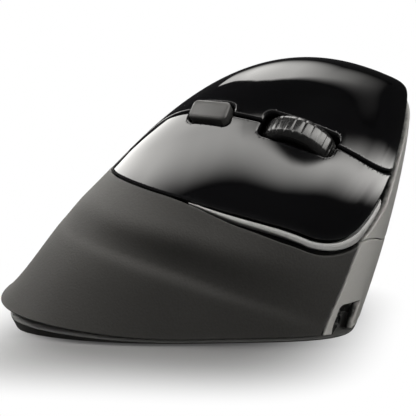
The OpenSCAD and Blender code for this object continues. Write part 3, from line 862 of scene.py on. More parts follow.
        # Painted shade: the cut walls are marked for a near-black colour, which stands in for the shade in
        # seams and openings.
        painted_shade = mesh.attributes.new("painted_shade_and_band", "FLOAT", "POINT")
        dark = np.concatenate([np.where(d > 0, 0, PAINTED_SHADE_START), np.ones(n)])
        painted_shade.data.foreach_set("value", dark.astype(np.float32))
        mesh.normals_split_custom_set(np.vstack(loop_normals).tolist())
        mesh.update()
        obj = bpy.data.objects.new(self.name, mesh)
        bpy.context.scene.collection.objects.link(obj)
        return obj


# Finishes


def new_group(name: str, inputs: Sequence[Tuple[str, float]], outputs: Sequence[str]) -> bpy.types.NodeTree:
    """Shader node group with float sockets.

    Args:
        name: the group's name.
        inputs: names and defaults of its inputs.
        outputs: names of its outputs.

    Returns:
        The group, with a Group Input and a Group Output node.
    """
    tree = bpy.data.node_groups.new(name, "ShaderNodeTree")
    tree.interface.new_socket("Vector", in_out="INPUT", socket_type="NodeSocketVector")
    for label, value in inputs:
        tree.interface.new_socket(label, in_out="INPUT", socket_type="NodeSocketFloat").default_value = value
    for label in outputs:
        tree.interface.new_socket(label, in_out="OUTPUT", socket_type="NodeSocketFloat")
    tree.nodes.new("NodeGroupInput").name = "In"
    tree.nodes.new("NodeGroupOutput").name = "Out"
    return tree


def grain_group() -> bpy.types.NodeTree:
    """Fine moulded grain with slow mottling, built once.

    Returns:
        The group, with Height, Tone and Smudge outputs.
    """
    if "moulded_grain" in bpy.data.node_groups:
        return bpy.data.node_groups["moulded_grain"]
    tree = new_group("moulded_grain", [("Scale", 4000.0), ("Cloud", 60.0)], ["Height", "Tone", "Smudge"])
    nodes, links = tree.nodes, tree.links
    fine = nodes.new("ShaderNodeTexNoise")
    fine.inputs["Detail"].default_value = 2.0
    cell = nodes.new("ShaderNodeTexVoronoi")
    slow = nodes.new("ShaderNodeTexNoise")
    slow.inputs["Detail"].default_value = 4.0
    smear = nodes.new("ShaderNodeTexNoise")
    smear.inputs["Detail"].default_value = 3.0
    smear.inputs["Distortion"].default_value = 1.2
    for node in (fine, cell, slow, smear):
        links.new(nodes["In"].outputs["Vector"], node.inputs["Vector"])
    links.new(nodes["In"].outputs["Scale"], fine.inputs["Scale"])
    links.new(nodes["In"].outputs["Scale"], cell.inputs["Scale"])
    links.new(nodes["In"].outputs["Cloud"], slow.inputs["Scale"])
    half = nodes.new("ShaderNodeMath")
    half.operation = "MULTIPLY"
    half.inputs[1].default_value = 0.6
    links.new(nodes["In"].outputs["Cloud"], half.inputs[0])
    links.new(half.outputs[0], smear.inputs["Scale"])
    joined = nodes.new("ShaderNodeMath")
    joined.operation = "MULTIPLY_ADD"
    joined.inputs[1].default_value = 0.5
    links.new(cell.outputs["Distance"], joined.inputs[0])
    links.new(fine.outputs["Fac"], joined.inputs[2])
    tone = nodes.new("ShaderNodeMath")
    tone.operation = "MULTIPLY_ADD"
    tone.inputs[1].default_value = 0.6
    links.new(fine.outputs["Fac"], tone.inputs[0])
    rest = nodes.new("ShaderNodeMath")
    rest.operation = "MULTIPLY"
    rest.inputs[1].default_value = 0.4
    links.new(slow.outputs["Fac"], rest.inputs[0])
    links.new(rest.outputs[0], tone.inputs[2])
    links.new(joined.outputs[0], nodes["Out"].inputs["Height"])
    links.new(tone.outputs[0], nodes["Out"].inputs["Tone"])
    links.new(smear.outputs["Fac"], nodes["Out"].inputs["Smudge"])
    return tree


def wear_group() -> bpy.types.NodeTree:
    """Wear along edges: the piece's "edge" attribute broken up by noise, built once.

    Returns:
        The group, with a Mask output.
    """
    if "edge_wear" in bpy.data.node_groups:
        return bpy.data.node_groups["edge_wear"]
    tree = new_group("edge_wear", [("Scale", 500.0)], ["Mask"])
    nodes, links = tree.nodes, tree.links
    edge = nodes.new("ShaderNodeAttribute")
    edge.attribute_name = "edge"
    noise = nodes.new("ShaderNodeTexNoise")
    noise.inputs["Detail"].default_value = 4.0
    links.new(nodes["In"].outputs["Vector"], noise.inputs["Vector"])
    links.new(nodes["In"].outputs["Scale"], noise.inputs["Scale"])
    both = nodes.new("ShaderNodeMath")
    both.operation = "MULTIPLY"
    links.new(edge.outputs["Fac"], both.inputs[0])
    links.new(noise.outputs["Fac"], both.inputs[1])
    wide = nodes.new("ShaderNodeMapRange")
    wide.inputs["From Min"].default_value = 0.15
    wide.inputs["From Max"].default_value = 0.6
    links.new(both.outputs[0], wide.inputs["Value"])
    links.new(wide.outputs["Result"], nodes["Out"].inputs["Mask"])
    return tree


@dataclass(frozen=True)
class Finish:
    """A moulded, coated or plated surface, as numbers for one Principled material."""

    slot: Slot
    colour: Colour
    rough: float
    rough_vary: float = 0.06
    mottle: float = 0.12
    grain: float = 4000.0
    cloud: float = 60.0
    bump: float = 0.15
    bump_mm: float = 0.02
    worn: float = 0.35
    metal: float = 0.0
    specular: float = 0.5
    clear: float = 0.0
    # Second colour by the piece's mark: near-black painted shade on cut walls, a lighter band on the base.
    painted_shade_and_band: Optional[Colour] = None

    def material(self) -> bpy.types.Material:
        """The finish's material, made at its first use.

        Returns:
            A material named for the slot.
        """
        if self.slot.value + "_look" in bpy.data.materials:
            return bpy.data.materials[self.slot.value + "_look"]
        mat = bpy.data.materials.new(self.slot.value + "_look")
        mat.use_nodes = True
        nodes, links = mat.node_tree.nodes, mat.node_tree.links
        shader = nodes["Principled BSDF"]
        where = nodes.new("ShaderNodeTexCoord")
        grain = nodes.new("ShaderNodeGroup")
        grain.node_tree = grain_group()
        grain.inputs["Scale"].default_value = self.grain
        grain.inputs["Cloud"].default_value = self.cloud
        wear = nodes.new("ShaderNodeGroup")
        wear.node_tree = wear_group()
        for node in (grain, wear):
            links.new(where.outputs["Object"], node.inputs["Vector"])
        tone = nodes.new("ShaderNodeMix")
        tone.data_type = "RGBA"
        low, high = (tuple(c * k for c in self.colour) + (1,) for k in (1 - self.mottle, 1 + self.mottle))
        tone.inputs["A"].default_value = low
        tone.inputs["B"].default_value = high
        links.new(grain.outputs["Tone"], tone.inputs["Factor"])
        colour = tone.outputs["Result"]
        if self.painted_shade_and_band is not None:
            colour = self.add_shade_and_band(nodes, links, colour)
        rub = nodes.new("ShaderNodeMix")
        rub.data_type = "RGBA"
        paler = tuple(c + self.worn * (0.25 * (1 - c) * c**0.5) for c in self.colour)
        rub.inputs["B"].default_value = paler + (1,)
        links.new(wear.outputs["Mask"], rub.inputs["Factor"])
        links.new(colour, rub.inputs["A"])
        links.new(rub.outputs["Result"], shader.inputs["Base Color"])
        matt = nodes.new("ShaderNodeMapRange")
        matt.inputs["From Min"].default_value = 0.3
        matt.inputs["From Max"].default_value = 0.7
        matt.inputs["To Min"].default_value = max(0.0, self.rough - self.rough_vary)
        matt.inputs["To Max"].default_value = self.rough + self.rough_vary
        links.new(grain.outputs["Smudge"], matt.inputs["Value"])
        links.new(matt.outputs["Result"], shader.inputs["Roughness"])
        bump = nodes.new("ShaderNodeBump")
        bump.inputs["Strength"].default_value = self.bump
        bump.inputs["Distance"].default_value = self.bump_mm * MM
        links.new(grain.outputs["Height"], bump.inputs["Height"])
        links.new(bump.outputs["Normal"], shader.inputs["Normal"])
        shader.inputs["Metallic"].default_value = self.metal
        shader.inputs["Specular IOR Level"].default_value = self.specular
        shader.inputs["Transmission Weight"].default_value = self.clear
        return mat

    def add_shade_and_band(self, nodes: bpy.types.Nodes, links: bpy.types.NodeLinks,
               colour: bpy.types.NodeSocket) -> bpy.types.NodeSocket:
        """Adds a second colour by the piece's mark: painted shade on cut walls, a lighter band on the base.
            links: the material's links.
            colour: the colour so far.

        Returns:
            The banded colour.
        """
        painted_shade_and_band = nodes.new("ShaderNodeAttribute")
        painted_shade_and_band.attribute_name = "painted_shade_and_band"
        step = nodes.new("ShaderNodeMapRange")
        step.inputs["From Min"].default_value = 0.47
        step.inputs["From Max"].default_value = 0.53
        links.new(painted_shade_and_band.outputs["Fac"], step.inputs["Value"])
        blend = nodes.new("ShaderNodeMix")
        blend.data_type = "RGBA"
        blend.inputs["B"].default_value = tuple(self.painted_shade_and_band) + (1,)
        links.new(step.outputs["Result"], blend.inputs["Factor"])
        links.new(colour, blend.inputs["A"])
        return blend.outputs["Result"]


# Near-black painted shade for the cut walls of the seams and the socket's notch.
PAINTED_SHADE_BLACK: Colour = (0.005, 0.005, 0.005)

FINISHES: Dict[Slot, Finish] = {
    f.slot: f
    for f in (
        Finish(Slot.BODY, (0.046, 0.045, 0.043), 0.6, grain=1700, bump=0.7, bump_mm=0.06, mottle=0.25,
               specular=0.1, painted_shade_and_band=PAINTED_SHADE_BLACK),
        Finish(Slot.FRONT, (0.5, 0.495, 0.475), 0.42, grain=2200, bump=0.3, bump_mm=0.03, mottle=0.12,
               specular=0.2, painted_shade_and_band=PAINTED_SHADE_BLACK),
        Finish(Slot.KEY, (0.0035, 0.0035, 0.004), 0.05, 0.025, 0.2, 900, 40, 0.006, 0.01, worn=0.6),
        Finish(Slot.TRIM, (0.36, 0.36, 0.355), 0.3, 0.08, 0.06, 6000, 90, 0.08),
        # Black frame plastic, darkened to near black as painted shade where it shows in the gaps between the
        # keys and the nose and in the socket's pocket.
        Finish(Slot.FRAME, (0.004, 0.004, 0.004), 0.6, worn=0.0, specular=0.15),
        Finish(Slot.TYRE, (0.016, 0.016, 0.016), 0.2, 0.06, grain=3000, bump=0.12),
        Finish(Slot.HUB, (0.02, 0.02, 0.021), 0.3),
        Finish(Slot.SPEED, (0.05, 0.049, 0.048), 0.42, grain=5500, bump=0.2),
        Finish(Slot.THUMB, (0.024, 0.024, 0.024), 0.32, grain=5500, bump=0.15),
        Finish(Slot.BASE, (0.03, 0.03, 0.029), 0.42, grain=3800, bump=0.3, painted_shade_and_band=(0.2, 0.2, 0.195)),
        Finish(Slot.FOOT, (0.02, 0.02, 0.022), 0.28, 0.1, grain=2500, bump=0.2),
        Finish(Slot.SWITCH, (0.012, 0.012, 0.013), 0.38),
        Finish(Slot.PLUNGER, (0.55, 0.1, 0.08), 0.4),
        Finish(Slot.SLIDER, (0.45, 0.07, 0.05), 0.4),
        Finish(Slot.BOARD, (0.02, 0.09, 0.035), 0.35, mottle=0.3, cloud=300),
        Finish(Slot.LENS, (0.5, 0.55, 0.58), 0.08, 0.03, clear=0.7),
        Finish(Slot.BATTERY, (0.2, 0.23, 0.26), 0.35),
        Finish(Slot.SOCKET, (0.4, 0.4, 0.4), 0.22, 0.06, metal=1.0, grain=6000, bump=0.05),
        Finish(Slot.SCREW, (0.55, 0.55, 0.56), 0.3, 0.08, metal=1.0, grain=6000, bump=0.1),
    )
}


def dress(obj: bpy.types.Object, slot: Slot, body: str, *nodes: str) -> bpy.types.Object:
    """Gives a new piece its finish, its body and the CAD nodes that it stands for.

    Args:
        obj: the piece.
        slot: the record's slot.
        body: the CAD body it rides on.
        nodes: the CAD nodes it replaces.

    Returns:
        The piece.
    """
    obj.data.materials.clear()
    obj.data.materials.append(FINISHES[slot].material())
    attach(obj, body)
    if nodes:
        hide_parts(*nodes)
    LOG.info("%s: %d faces, on %s", obj.name, len(obj.data.polygons), body)
    return obj


# Sub-assemblies


def pill_outline(length: float, width: float, steps: int = 10) -> Array:
    """Flat outline of a rounded rectangle whose corner radius is a quarter of its width.

    Args:
        length: its length.
        width: its width.
        steps: points on each corner.

    Returns:
        Points of the outline.
    """
    r = width / 4
    t = np.linspace(0, math.pi / 2, steps)
    corners = []
    for i, (sx, sy) in enumerate(((1, 1), (-1, 1), (-1, -1), (1, -1))):
        turn = t + i * math.pi / 2
        c = np.array([sx * (length / 2 - r), sy * (width / 2 - r)])
        corners.append(c + r * np.stack([np.cos(turn), np.sin(turn)], -1))
    return np.vstack(corners)


def on_skin(skin: Skin, seat: LocalFrame, flat: Array) -> Array:
    """Places (a, v) where straight lines out of a seat meet the skin.

    Args:
        skin: the skin.
        seat: the local frame.
        flat: x and y in the seat.

    Returns:
        One (a, v) for each line.
    """
    a = np.full(len(flat), float(seat.start[0]))
    v = np.full(len(flat), float(seat.start[1]))
    for _ in range(25):
        gap = skin.point(a, v) - seat.origin
        miss = np.stack([gap @ seat.x - flat[:, 0], gap @ seat.y - flat[:, 1]], -1)
        sa, sv = skin.slope_a(a, v), skin.slope_v(a, v)
        jac = np.stack([np.stack([sa @ seat.x, sv @ seat.x], -1),
                        np.stack([sa @ seat.y, sv @ seat.y], -1)], 1)
        move = np.linalg.solve(jac, miss[..., None])[..., 0]
        a, v = a - np.clip(move[:, 0], -6, 6), v - np.clip(move[:, 1], -0.06, 0.06)
    return np.stack([a, v], -1)


def line(*parts: Array) -> Array:
    """Chart points from coordinate arrays of one length."""
    return np.stack(np.broadcast_arrays(*parts), -1).astype(float)


@dataclass
class BodyShells:
    """Rubber-coated halves of the body: the finger side with its rest, and the thumb side."""

    skin: Skin
    wall: float = 2.1
    roll: float = 0.4
    button_len: float = 15.0
    button_wide: float = 6.0
    pitch: float = 18.0
    scale: Tuple[float, float] = (0.8, 85.0)

    def finger_half(self) -> bpy.types.Object:
        """Models the finger-side half.

        Returns:
            The closed piece.
        """
        k = self.skin
        v_tail = float(k.ridge_top(np.array(-90.0)))
        v = np.linspace(0, v_tail, 160)
        tail = line(-90 + k.tail_gap(v), v)[::-1]
        a = np.linspace(-90 + float(k.tail_gap(np.array(v_tail))), k.gloss_start, 30)
        ridge = line(a, k.ridge_top(np.linspace(-90, k.gloss_start, 30)))[::-1]
        s = np.linspace(0, 0.927, 400)
        top_v = np.minimum(k.shell_top(s), float(k.ridge_top(np.array(k.gloss_start))))
        end = float(k.cap_a(0.927, k.shell_top(np.array(0.927))))
        top_a = k.cap_a(s, top_v) + (k.seam_f(top_v) - end) * ease((s - 0.7) / 0.227)
        top = line(top_a, top_v)[::-1]
        v = np.linspace(0, float(top_v[-1]), 80)
        seam = line(k.seam_f(v), v)
        low = line(np.linspace(-90 + float(k.tail_gap(np.array(0.0))), 45.3, 200), 0.0)
        return Panel("finger_shell", [low, seam, top, ridge, tail], k.moved, self.scale, self.wall,
                     self.roll).build()

    def thumb_half(self) -> bpy.types.Object:
        """Models the thumb-side half with its two button openings.

        Returns:
            The closed piece.
        """
        k = self.skin
        u = np.linspace(0, 1, 300)
        a_top = mix(96, 270 - float(k.tail_gap(np.array(0.97))), u)
        s = k.cap_s(180 - a_top, 0.9)
        ridge = k.ridge_top(a_top)
        flank = 1 - k.over_crest(s) - k.v_of(a_top, np.full_like(a_top, 0.9), 1.6)
        v_top = np.where(s <= 0, ridge, np.minimum(ridge, flank))
        edge = lambda v: k.seam_t(v) + k.a_of(k.seam_t(v), v, k.seam)
        top = line(mix(edge(v_top), 270 - k.tail_gap(v_top), u), v_top)[::-1]
        v = np.linspace(0, float(v_top[0]), 160)
        front = line(edge(v), v)[::-1]
        v = np.linspace(0, float(v_top[-1]), 160)
        tail = line(270 - k.tail_gap(v), v)
        low = line(np.linspace(float(front[-1, 0]), float(tail[0, 0]), 240), 0.0)
        hole = pill_outline(self.button_len + 2 * k.key_gap, self.button_wide + 2 * k.key_gap)
        holes = [on_skin(k, k.thumb_seat(y), hole) for y in (0.0, self.pitch)]
        return Panel("thumb_side_shell", [low, tail, top, front], k.moved, self.scale, self.wall, self.roll,
                     holes=holes).build()

    def build(self) -> None:
        """Models and dresses both halves."""
        dress(self.finger_half(), Slot.BODY, "chassis", "main_shell")
        dress(self.thumb_half(), Slot.BODY, "chassis", "thumb_shell")


@dataclass
class FrontPieces:
    """Lighter front: the low cover with the socket's notch, and the nose panel beside the keys."""

    skin: Skin
    wall: float = 2.1
    roll: float = 0.35
    scale: Tuple[float, float] = (0.75, 70.0)
    edge_step: float = 0.4
    shadow_gap: float = 0.72
    nose_gap: Tuple[float, float] = (3.0, 5.6)
    nose_a: float = 56.2
    nose_top: float = 0.88
    notch: Tuple[float, float, float] = (12.6, 23.0, 9.2)
    notch_r: float = 1.3

    def notch_loop(self) -> Array:
        """Chart loop of the socket's notch, open below the lip.

        Returns:
            Chart points.
        """
        k = self.skin
        x0, x1, top = self.notch
        t = np.linspace(0, math.pi / 2, 9)
        r = self.notch_r
        rise = np.linspace(3.2, top - r, 12)
        xs = np.concatenate([np.full(12, x1), x1 - r + r * np.cos(t),
                             x0 + r - r * np.sin(t), np.full(12, x0)])
        zs = np.concatenate([rise, top - r + r * np.sin(t), top - r + r * np.cos(t), rise[::-1]])
        a, v = 90 - 1.3 * xs, zs / 75
        for _ in range(40):
            p = k.point(a, v)
            miss = np.stack([p[:, 0] - xs, p[:, 2] - zs], -1)
            sa, sv = k.slope_a(a, v), k.slope_v(a, v)
            jac = np.stack([np.stack([sa[:, 0], sv[:, 0]], -1), np.stack([sa[:, 2], sv[:, 2]], -1)], 1)
            move = np.linalg.solve(jac, miss[..., None])[..., 0]
            a, v = a - np.clip(move[:, 0], -4, 4), v - np.clip(move[:, 1], -0.05, 0.05)
        loop = line(a, v)
        below = np.array([[loop[-1, 0], -0.03], [loop[0, 0], -0.03]])
        return np.vstack([loop, below])

    def cover(self) -> bpy.types.Object:
        """Models the low cover.

        Returns:
            The closed piece.
        """
        k = self.skin
        u = np.linspace(0, 1, 200)
        a_top = mix(float(k.seam_f(k.level_seam)), float(k.seam_t(k.level_seam)), u)
        v_top = k.cover_top(a_top) - k.v_of(a_top, np.full_like(a_top, k.level_seam), k.seam / 2)
        left = lambda v: k.seam_f(v) + k.a_of(k.seam_f(v), v, self.shadow_gap)
        top = line(mix(left(v_top), k.seam_t(v_top), u), v_top)[::-1]
        v = np.linspace(0, float(v_top[0]), 60)
        lead = line(left(v), v)[::-1]
        v = np.linspace(0, float(v_top[-1]), 60)
        side = line(k.seam_t(v), v)
        low = line(np.linspace(float(lead[-1, 0]), float(side[0, 0]), 160), 0.0)
        return Panel("front_low_cover", [low, side, top, lead], k.moved, self.scale, self.wall, self.roll,
                     edge_step=self.edge_step, holes=[self.notch_loop()]).build()

    def nose_lead(self, v: Array) -> Array:
        """Angle of the nose panel's edge beside the keys.

        Args:
            v: heights from 0 at the lip to 1 at the crest.

        Returns:
            One angle for each height.
        """
        k = self.skin
        edge = k.front_edge(v)
        gap = k.a_of(edge, v, 1.0) * (k.key_gap + mix(*self.nose_gap, ease((v - 0.42) / 0.2)))
        return np.minimum(self.nose_a + 205 * (v - 0.229), edge + gap)

    def nose(self) -> bpy.types.Object:
        """Models the nose panel.

        Returns:
            The closed piece.
        """
        k = self.skin
        u = np.linspace(0, 1, 160)
        a_low = mix(self.nose_a, float(k.seam_t(k.level_seam)), u)
        v_low = k.cover_top(a_low) + k.v_of(a_low, np.full_like(a_low, k.level_seam), k.seam / 2)
        right = lambda v: k.seam_t(v) - k.a_of(k.seam_t(v), v, 1.3 * k.seam)
        v = np.linspace(float(v_low[0]), self.nose_top, 200)
        lead = line(self.nose_lead(v), v)[::-1]
        low = line(mix(lead[-1, 0], right(v_low), u), v_low)
        v = np.linspace(float(v_low[-1]), self.nose_top, 200)
        side = line(right(v), v)
        top = line(np.linspace(side[-1, 0], lead[0, 0], 20), self.nose_top)
        return Panel("nose_cover", [low, side, top, lead], k.moved, self.scale, self.wall, self.roll,
                     edge_step=self.edge_step).build()

    def build(self) -> None:
        """Models and dresses both pieces."""
        dress(self.cover(), Slot.FRONT, "chassis", "front_cover")
        dress(self.nose(), Slot.FRONT, "chassis", "nose_panel")


@dataclass
class KeyPair:
    """Gloss keys with the wheel's slot and the speed button's opening cut into both."""

    skin: Skin
    wall: float = 1.9
    roll: float = 0.6
    step: float = 0.9
    slot_size: Tuple[float, float] = (21.14, 8.0)
    speed_size: Tuple[float, float] = (12.2, 7.2)
    scale: Tuple[float, float] = (105.0, 75.0)

    def place(self, s: Array, q: Array, d: Array) -> Array:
        """Lifts places of the gloss area to the skin.

        Args:
            s: stations of the gloss area.
            q: heights, which run over the crest at 1 and down the thumb side.
            d: lengths out of the skin, in millimetres.

        Returns:
            Points in millimetres.
        """
        k = self.skin
        over = q >= 1
        v = np.where(over, 2 - q, q)
        a = k.cap_a(s, v)
        a = np.where(over, 180 - a, a)
        return k.moved(a, v, d)

    def openings(self) -> List[Array]:
        """Chart loops of the wheel's slot and the speed button's opening.

        Returns:
            Two closed loops.
        """
        k = self.skin
        loops = []
        for seat, size in ((k.wheel_seat(), self.slot_size), (k.speed_seat(), self.speed_size)):
            av = on_skin(k, seat, pill_outline(*size))
            loops.append(line(k.cap_s(av[:, 0], av[:, 1]), av[:, 1]))
        return loops

    def lower(self) -> bpy.types.Object:
        """Models the lower, right-hand key.

        Returns:
            The closed piece.
        """
        k = self.skin
        s = np.linspace(0.2, 1, 400)
        lo, hi = k.edge_v(s), k.split_v(s) - k.half_v(s)
        low, top = line(s, lo), line(s, hi)[::-1]
        front = line(1.0, np.linspace(lo[-1], hi[-1], 30))
        back = line(0.2, np.linspace(hi[0], lo[0], 30))
        return Panel("lower_key", [low, front, top, back], self.place, self.scale, self.wall, self.roll,
                     self.step, holes=self.openings()).build()

    def upper(self) -> bpy.types.Object:
        """Models the upper, left-hand key, which rolls over the crest.

        Returns:
            The closed piece.
        """
        k = self.skin
        s = np.linspace(0.08, 1, 460)
        split = k.split_v(s) + k.half_v(s)
        edge = k.edge_v(s)
        lo = np.where(s < 0.17, edge, np.where(s < 0.2, np.maximum(split, edge), split))
        hi = 1 + k.over_crest(s)
        low, top = line(s, lo), line(s, hi)[::-1]
        front = line(1.0, np.linspace(lo[-1], hi[-1], 120))
        back = line(0.08, np.linspace(hi[0], lo[0], 40))
        return Panel("upper_key", [low, front, top, back], self.place, self.scale, self.wall, self.roll,
                     self.step, holes=self.openings()).build()

    def build(self) -> None:
        """Models and dresses both keys."""
        dress(self.lower(), Slot.KEY, "right_key", "right_button")
        dress(self.upper(), Slot.KEY, "left_key", "left_button")


@dataclass
class EdgeStrip:
    """Bright strip below the lower key, with a ridge along it."""

    skin: Skin
    ends: Tuple[float, float] = (0.49, 0.975)
    steps: int = 150
    wall: float = 2.1
    crown: float = -0.1
    full_width: float = 1.2
    least_share: float = 0.2
    profile: Tuple[Tuple[float, float], ...] = (
        (0.0, -0.55), (0.05, -0.3), (0.14, -0.16), (0.42, -0.1),
        (0.55, -0.12), (0.9, -0.4), (0.97, -0.52), (1.0, -0.8))

    def build(self) -> None:
        """Models the strip as a lofted ridge and dresses it."""
        k = self.skin
        s = np.linspace(*self.ends, self.steps)
        hi = k.edge_mm(s, k.low_gap(s))
        lo = k.edge_mm(s, k.low_gap(s) + k.strip_w(s))
        a = k.cap_a(s, k.edge_v(s))
        thin = np.clip(k.strip_w(s) / self.full_width, self.least_share, 1)
        rows = []
        for w, d in self.profile:
            rows.append(k.moved(a, mix(lo, hi, w), self.crown + (d - self.crown) * thin))
        for w in (1.0, 0.0):
            rows.append(k.moved(a, mix(lo, hi, w), np.full_like(s, -self.wall)))
        grid = np.stack(rows, 1)
        n, m = grid.shape[:2]
        faces = []
        for i in range(n - 1):
            for j in range(m):
                b = (j + 1) % m
                faces.append((i * m + j, (i + 1) * m + j, (i + 1) * m + b, i * m + b))
        faces += [tuple(range(m)), tuple((n - 1) * m + j for j in reversed(range(m)))]
        mesh = bpy.data.meshes.new("edge_strip")
        mesh.from_pydata((grid.reshape(-1, 3) * MM).tolist(), [], faces)
        obj = bpy.data.objects.new("edge_strip", mesh)
        bpy.context.scene.collection.objects.link(obj)
        activate(obj)
        bpy.ops.object.mode_set(mode="EDIT")
        bpy.ops.mesh.select_all(action="SELECT")
        bpy.ops.mesh.normals_make_consistent(inside=False)
        bpy.ops.object.mode_set(mode="OBJECT")
        smooth(obj, 28)
        dress(obj, Slot.TRIM, "chassis", "edge_trim")


@dataclass
class ScrollWheel:
    """Rubber tyre with cross grooves and rounded shoulders, turned about the wheel's own axle."""

    skin: Skin
    diameter: float = 21.0
    width: float = 7.0
    out: float = 3.6
    ribs: int = 28
    per_rib: int = 16
    bore: float = 8.12
    shoulder: float = 1.8
    groove: float = 0.2
    groove_share: float = 0.16
    tread_deep: float = 0.8
    tread_fade: float = 0.7

    def build(self) -> None:
        """Models the tyre from a cylinder and dresses it."""
        deselect()
        r = self.diameter / 2
        bpy.ops.mesh.primitive_cylinder_add(vertices=self.ribs * self.per_rib, radius=r, depth=self.width,
                                            end_fill_type="NGON")
        obj = bpy.context.object
        obj.name = obj.data.name = "grooved_tyre"
        bpy.ops.object.mode_set(mode="EDIT")
        pick(obj, "EDGE", lambda c, d: abs(abs(c.z) - self.width / 2) < 1e-4 and abs(d.z) < 0.5)
        bpy.ops.mesh.bevel(offset=self.shoulder, segments=7, profile=0.5, affect="EDGES", clamp_overlap=False)
        pick(obj, "FACE", lambda c, n: abs(n.z) > 0.99 and math.hypot(c.x, c.y) < 0.5)
        bpy.ops.mesh.inset(thickness=r - self.shoulder - self.bore + 0.9, depth=0.0)
        bpy.ops.mesh.inset(thickness=0.25, depth=-0.3)
        bpy.ops.mesh.delete(type="FACE")
        rim = lambda c, n: math.hypot(c.x, c.y) < self.bore - 0.9
        pick(obj, "VERT", rim)
        bpy.ops.mesh.select_mode(type="EDGE")
        bpy.ops.mesh.bridge_edge_loops()
        bpy.ops.mesh.select_all(action="SELECT")
        bpy.ops.mesh.normals_make_consistent(inside=False)
        bpy.ops.object.mode_set(mode="OBJECT")
        self.carve(obj)
        seat = self.skin.wheel_seat()
        turn = Matrix.Rotation(math.pi / 2, 4, "X")
        obj.data.transform(seat.matrix(self.out - r) @ turn)
        smooth(obj, 75)
        dress(obj, Slot.TYRE, "wheel", "wheel_tyre")

    def carve(self, obj: bpy.types.Object) -> None:
        """Sinks the cross grooves, which fade out towards the shoulders.

        Args:
            obj: the plain tyre, about the z axis.
        """
        mesh = obj.data
        co = np.array([tuple(w.co) for w in mesh.vertices])
        rad = np.hypot(co[:, 0], co[:, 1])
        turn = np.arctan2(co[:, 1], co[:, 0])
        tread = np.clip((rad - (self.diameter / 2 - self.tread_deep)) / self.tread_fade, 0, 1)
        phase = (turn / (2 * math.pi) * self.ribs) % 1.0
        dip = np.exp(-(((phase - 0.5) / self.groove_share) ** 2))
        sink = self.groove * dip * ease(tread)
        co[:, :2] *= ((rad - sink) / np.maximum(rad, 1e-9))[:, None]
        mesh.vertices.foreach_set("co", co.astype(np.float32).reshape(-1))
        mesh.update()


@dataclass
class PressCap:
    """A rounded push cap with a softly crowned top, seated on the skin."""

    name: str
    node: str
    body: str
    slot: Slot
    length: float
    width: float
    out: float
    deep: float
    round: float = 0.7
    crown: float = 0.25

    def build(self, seat: LocalFrame) -> None:
        """Models the cap from a cube and dresses it.

        Args:
            seat: the cap's local frame.
        """
        deselect()
        tall = self.out + self.deep
        bpy.ops.mesh.primitive_cube_add(size=1.0, location=(0, 0, (self.out - self.deep) / 2),
                                        scale=(self.length, self.width, tall))
        obj = bpy.context.object
        obj.name = obj.data.name = self.name
        bpy.ops.object.transform_apply(location=True, rotation=True, scale=True)
        bpy.ops.object.mode_set(mode="EDIT")
        pick(obj, "EDGE", lambda c, d: abs(d.z) > 0.9)
        bpy.ops.mesh.bevel(offset=self.width / 4, segments=10, profile=0.5, affect="EDGES")
        pick(obj, "FACE", lambda c, n: n.z > 0.9)
        bpy.ops.mesh.bevel(offset=self.round, segments=6, profile=0.5, affect="EDGES")
        pick(obj, "FACE", lambda c, n: n.z > 0.99)
        for _ in range(4):
            bpy.ops.mesh.inset(thickness=self.width / 2 / 7, depth=0.0)
        bpy.ops.object.mode_set(mode="OBJECT")
        for w in obj.data.vertices:
            if w.co.z > self.out - self.round:
                u, t = 2 * w.co.x / self.length, 2 * w.co.y / self.width
                w.co.z -= self.crown * (0.5 * u * u + 0.5 * t * t)
        obj.data.transform(seat.matrix())
        smooth(obj, 50)
        dress(obj, self.slot, self.body, self.node)


@dataclass
class BaseTray:
    """Base with a light band above its crease and a dark lower part."""

    skin: Skin
    foot_out: float = 0.5

    def build(self) -> None:
        """Models the tray from its solid, marks the band and dresses it."""
        obj = merged_copy("base_plate", "base_tray")
        smooth(obj, 20)
        co = np.array([tuple(w.co) for w in obj.data.vertices]) / MM
        turn = self.lip_angle(co)
        lip = self.skin.lip(turn)[:, 2] - self.skin.seam
        share = (co[:, 2] - self.foot_out) / np.maximum(lip - self.foot_out, 0.3)
        painted_shade_and_band = obj.data.attributes.new("painted_shade_and_band", "FLOAT", "POINT")
        painted_shade_and_band.data.foreach_set("value", np.clip(share, 0, 1.2).astype(np.float32))
        dress(obj, Slot.BASE, "chassis", "base_plate")

    def lip_angle(self, co: Array) -> Array:
        """Angle of the lip point nearest to each point, seen from above.

        Args:
            co: points in millimetres.

        Returns:
            One angle for each point.
        """
        a = np.linspace(-90, 270, 1441)
        _, k = nearest(co[:, :2], self.skin.lip(a)[:, :2])
        return a[k]


@dataclass
class RoundedSolids:
    """Small solids whose edges are rounded and whose shape is otherwise right."""

    rows: Tuple[Tuple[str, str, Slot, str, float], ...] = (
        ("foot_front_finger", "glide_front_finger", Slot.FOOT, "chassis", 0.25),
        ("foot_front_thumb", "glide_front_thumb", Slot.FOOT, "chassis", 0.25),
        ("foot_rear_finger", "glide_rear_finger", Slot.FOOT, "chassis", 0.25),
        ("foot_rear_thumb", "glide_rear_thumb", Slot.FOOT, "chassis", 0.25),
        ("port_shell", "socket_sleeve", Slot.SOCKET, "chassis", 0.1),
        ("port_tongue", "socket_tongue", Slot.SWITCH, "chassis", 0.1),
        # The socket's pocket takes the near-black frame finish, which paints the shade inside the notch.
        ("port_pocket", "socket_pocket", Slot.FRAME, "chassis", 0.15),
        ("power_slider", "power_knob", Slot.SLIDER, "power_knob", 0.25),
    )

    def build(self) -> None:
        """Rounds each solid and dresses it."""
        for node, name, slot, body, width in self.rows:
            obj = merged_copy(node, name)
            bevel_edges(obj, width * MM, 3)
            smooth(obj, 40)
            dress(obj, slot, body, node)


